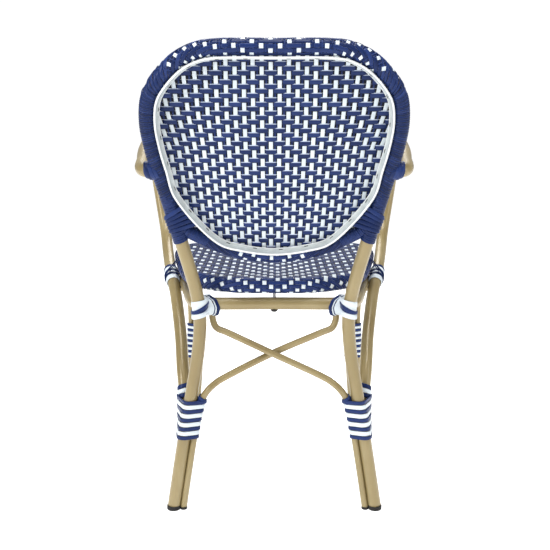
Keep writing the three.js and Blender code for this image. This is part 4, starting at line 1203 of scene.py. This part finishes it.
def side_lashing(pale, blue):
    """Turns round an arm beside the seat, and strands that cross between the arm, the ring and the seat."""
    axes = (ACROSS, RISING, AHEAD)
    for back, lean, grow in ((-3, -0.3, 0.4), (5, 0.34, 1.2), (14, -0.2, 0.8)):
        y = SIDE_LASH - back
        arm = arm_path.spot(1, y, LOWER_ARM, arm_path.spans)
        ring = ring_path.spot(1, y, 3, 8)
        arm_circle = (arm[0], arm[2], TUBE + CLEAR + grow)
        ring_circle = (ring[0], ring[2], RING_TUBE + CLEAR + grow)
        belt(blue, [arm_circle, ring_circle], axes, y, (lean, 0.15), width=7.0, thick=2.0)
        seat_circle = (ring[0] + 1.5, SEAT_Z + 1.0, 15.4 + grow)
        belt(blue, [arm_circle, seat_circle], axes, y - 5, (0.1, lean), width=6.4, thick=1.8)
    place = arm_path.where(1, SIDE_LASH, LOWER_ARM, arm_path.spans)
    line = arm_path.sampled(1, place - 0.36, place + 0.95)
    length = lengths(line)
    spot = 0.0
    for build, wide in ((blue, 8.2), (pale, 9.4), (blue, 9.4), (pale, 4.2), (blue, 9.4), (pale, 14.0)):
        low, high = interpolate([spot, spot + wide], length, line)
        cuff(build, (low + high) / 2, square_to(unit(high - low)), 0.2, 0, (0.08, -0.12), wide, 2.4)
        spot += wide


def arm_joint(build):
    """Wide strands wound as a ball over the start of an arm."""
    middle, axis = arm_path.at(0.42)[0], arm_path.tangent(0.42)[0]
    stretch = arm_path.sampled(1, 0.08, 0.86)
    wind(build, stretch, TUBE + CLEAR + 0.9, pitch=8.6, width=8.2, thick=1.8, start=0.4)
    for spot, grow in ((-9.6, 1.5), (-2.4, 1.9), (4.8, 1.6)):
        cuff(build, middle, square_to(axis), grow, spot, (0.05, 0.36), width=7.6, thick=2.2)


def arm_rings(blue, pale):
    """Two blue turns and a white one on an arm, above the rear ankle."""
    for build, bottom in ((blue, 213.6), (blue, 228.4), (pale, 221.0)):
        place = arm_path.where(2, bottom, LOWER_ARM, arm_path.spans)
        axes = square_to(arm_path.tangent(place)[0], AHEAD)
        slope = (0.18 * np.sign(axes[0][0]), 0)
        cuff(build, arm_path.at(place)[0], axes, 0, 0, slope, width=8.2, thick=1.9)


# Outline of a rubber foot: shares of its radius and of its height
FOOT_OUTLINE = [
    (0, 0), (0.86, 0), (0.96, 0.06), (1, 0.16), (1, 0.3), (0.965, 0.34), (0.965, 0.4), (1, 0.44), (1, 0.6),
    (0.965, 0.64), (0.965, 0.7), (1, 0.74), (1, 0.93), (0.97, 1), (0.86, 1), (0.84, 0.8), (0, 0.8),
]


def foot_rings(spot, radius, height):
    angle = np.arange(40) * 2 * math.pi / 40
    share, rise = np.hsplit(np.array(FOOT_OUTLINE), 2)
    share = np.maximum(share, 0.01) * radius
    x, y = spot[0] + share * np.cos(angle), spot[1] + share * np.sin(angle)
    return np.stack([x, y, height * rise + 0 * angle], axis=2)


def add_feet():
    """Ribbed rubber feet under the legs and the thin tubes."""
    rear, front, aside = frame_at(5.0), front_at(5.0), BESIDE * ACROSS
    # Radius and height
    wide, thin = (13.2, 8.6), (6.9, 5.4)
    feet = (("rear_foot", rear, wide), ("front_foot", front, wide))
    feet += (("rear_thin_foot", rear - aside, thin), ("front_thin_foot", front + aside, thin))
    for name, spot, size in feet:
        rings = foot_rings(spot, *size)
        add_pair(lambda build: build.skin(rings), (f"{name}_rubber", rubber, name))


def finish_nodes():
    """Materials for the CAD nodes that stay in view, the seat bolts and their caps."""
    for name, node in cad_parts.items():
        if "bolt" in name:
            node.data.materials.clear()
            node.data.materials.append((rubber if "cap" in name else steel).material)


def add_camera():
    """The camera that fits the photograph. Lengths on the photograph are in its pixels."""
    focal_length, width, middle_shift = 850, 550, 0.7
    data = bpy.data.cameras.new("camera")
    data.sensor_width = 36
    data.lens = 36 * focal_length / width
    data.shift_x = middle_shift / width
    camera = placed("camera", data)
    distance, height, pitch = 1.7436, 0.765, 10.98
    camera.location = (0, -distance, height)
    camera.rotation_euler = (math.radians(90 - pitch), 0, 0)
    bpy.context.scene.camera = camera


def area_light(name, place, target, size, power):
    data = bpy.data.lights.new(name, "AREA")
    data.shape = "RECTANGLE"
    data.size, data.size_y = size
    data.energy = power
    light = placed(name, data)
    light.location = place
    x, y, z = np.array(target) - np.array(place)
    light.rotation_euler = (math.atan2(math.hypot(x, y), -z), 0, math.atan2(y, x) - math.pi / 2)


def add_world():
    """White surroundings, brighter for the camera than for the object that they light."""
    world = bpy.data.worlds.new("world")
    bpy.context.scene.world = world
    world.use_nodes = True
    tree = world.node_tree
    background = tree.nodes["Background"]
    background.inputs["Color"].default_value = (1, 1, 1, 1)
    seen = tree.nodes.new("ShaderNodeLightPath")
    power = tree.nodes.new("ShaderNodeMath")
    power.operation = "MULTIPLY_ADD"
    power.inputs[1].default_value = 0.68
    power.inputs[2].default_value = 0.36
    tree.links.new(seen.outputs["Is Camera Ray"], power.inputs[0])
    tree.links.new(power.outputs[0], background.inputs["Strength"])


def add_stage():
    mesh = bpy.data.meshes.new("floor")
    mesh.from_pydata([(-12, -12, 0), (12, -12, 0), (12, 12, 0), (-12, 12, 0)], [], [(0, 1, 2, 3)])
    placed("floor", mesh)
    floor = Nodes(
        "floor", Roughness=0.9, Specular_IOR_Level=0.1, Base_Color=(0.9, 0.9, 0.9, 1),
        Emission_Color=(1, 1, 1, 1), Emission_Strength=0.72,
    )
    mesh.materials.append(floor.material)
    add_world()
    area_light("top_light", (0, -0.7, 2.6), (0, 0, 0.4), (1.6, 1.0), 44)
    area_light("front_light", (0, 1.7, 2.3), (0, 0.1, 0.45), (1.6, 1.0), 34)
    area_light("left_light", (-2.4, -1.9, 1.7), (0, 0, 0.5), (0.5, 1.9), 46)
    area_light("right_light", (2.5, -1.2, 1.4), (0, 0, 0.5), (0.4, 1.8), 13)
    bpy.context.scene.view_settings.view_transform = "Standard"


add_camera()
add_stage()
finish_nodes()
add_tubes()
add_cloth("back", BackCloth(), WRAPS, ["back_weave"])
add_posts()
add_cloth("seat", SeatCloth(), ["seat_weave"], ["seat_weave"])
add_ankles()
add_band()
add_pair(rear_lashing, *blue_and_white("rear_lashing_{}", "rear_joint_lashing")[::-1])
add_pair(side_lashing, *blue_and_white("side_lashing_{}", "seat_side_lashing")[::-1])
add_pair(arm_joint, ("arm_joint_turns", navy, "arm_joint_wrap"))
add_pair(arm_rings, *blue_and_white("arm_ring_{}"))
add_feet()
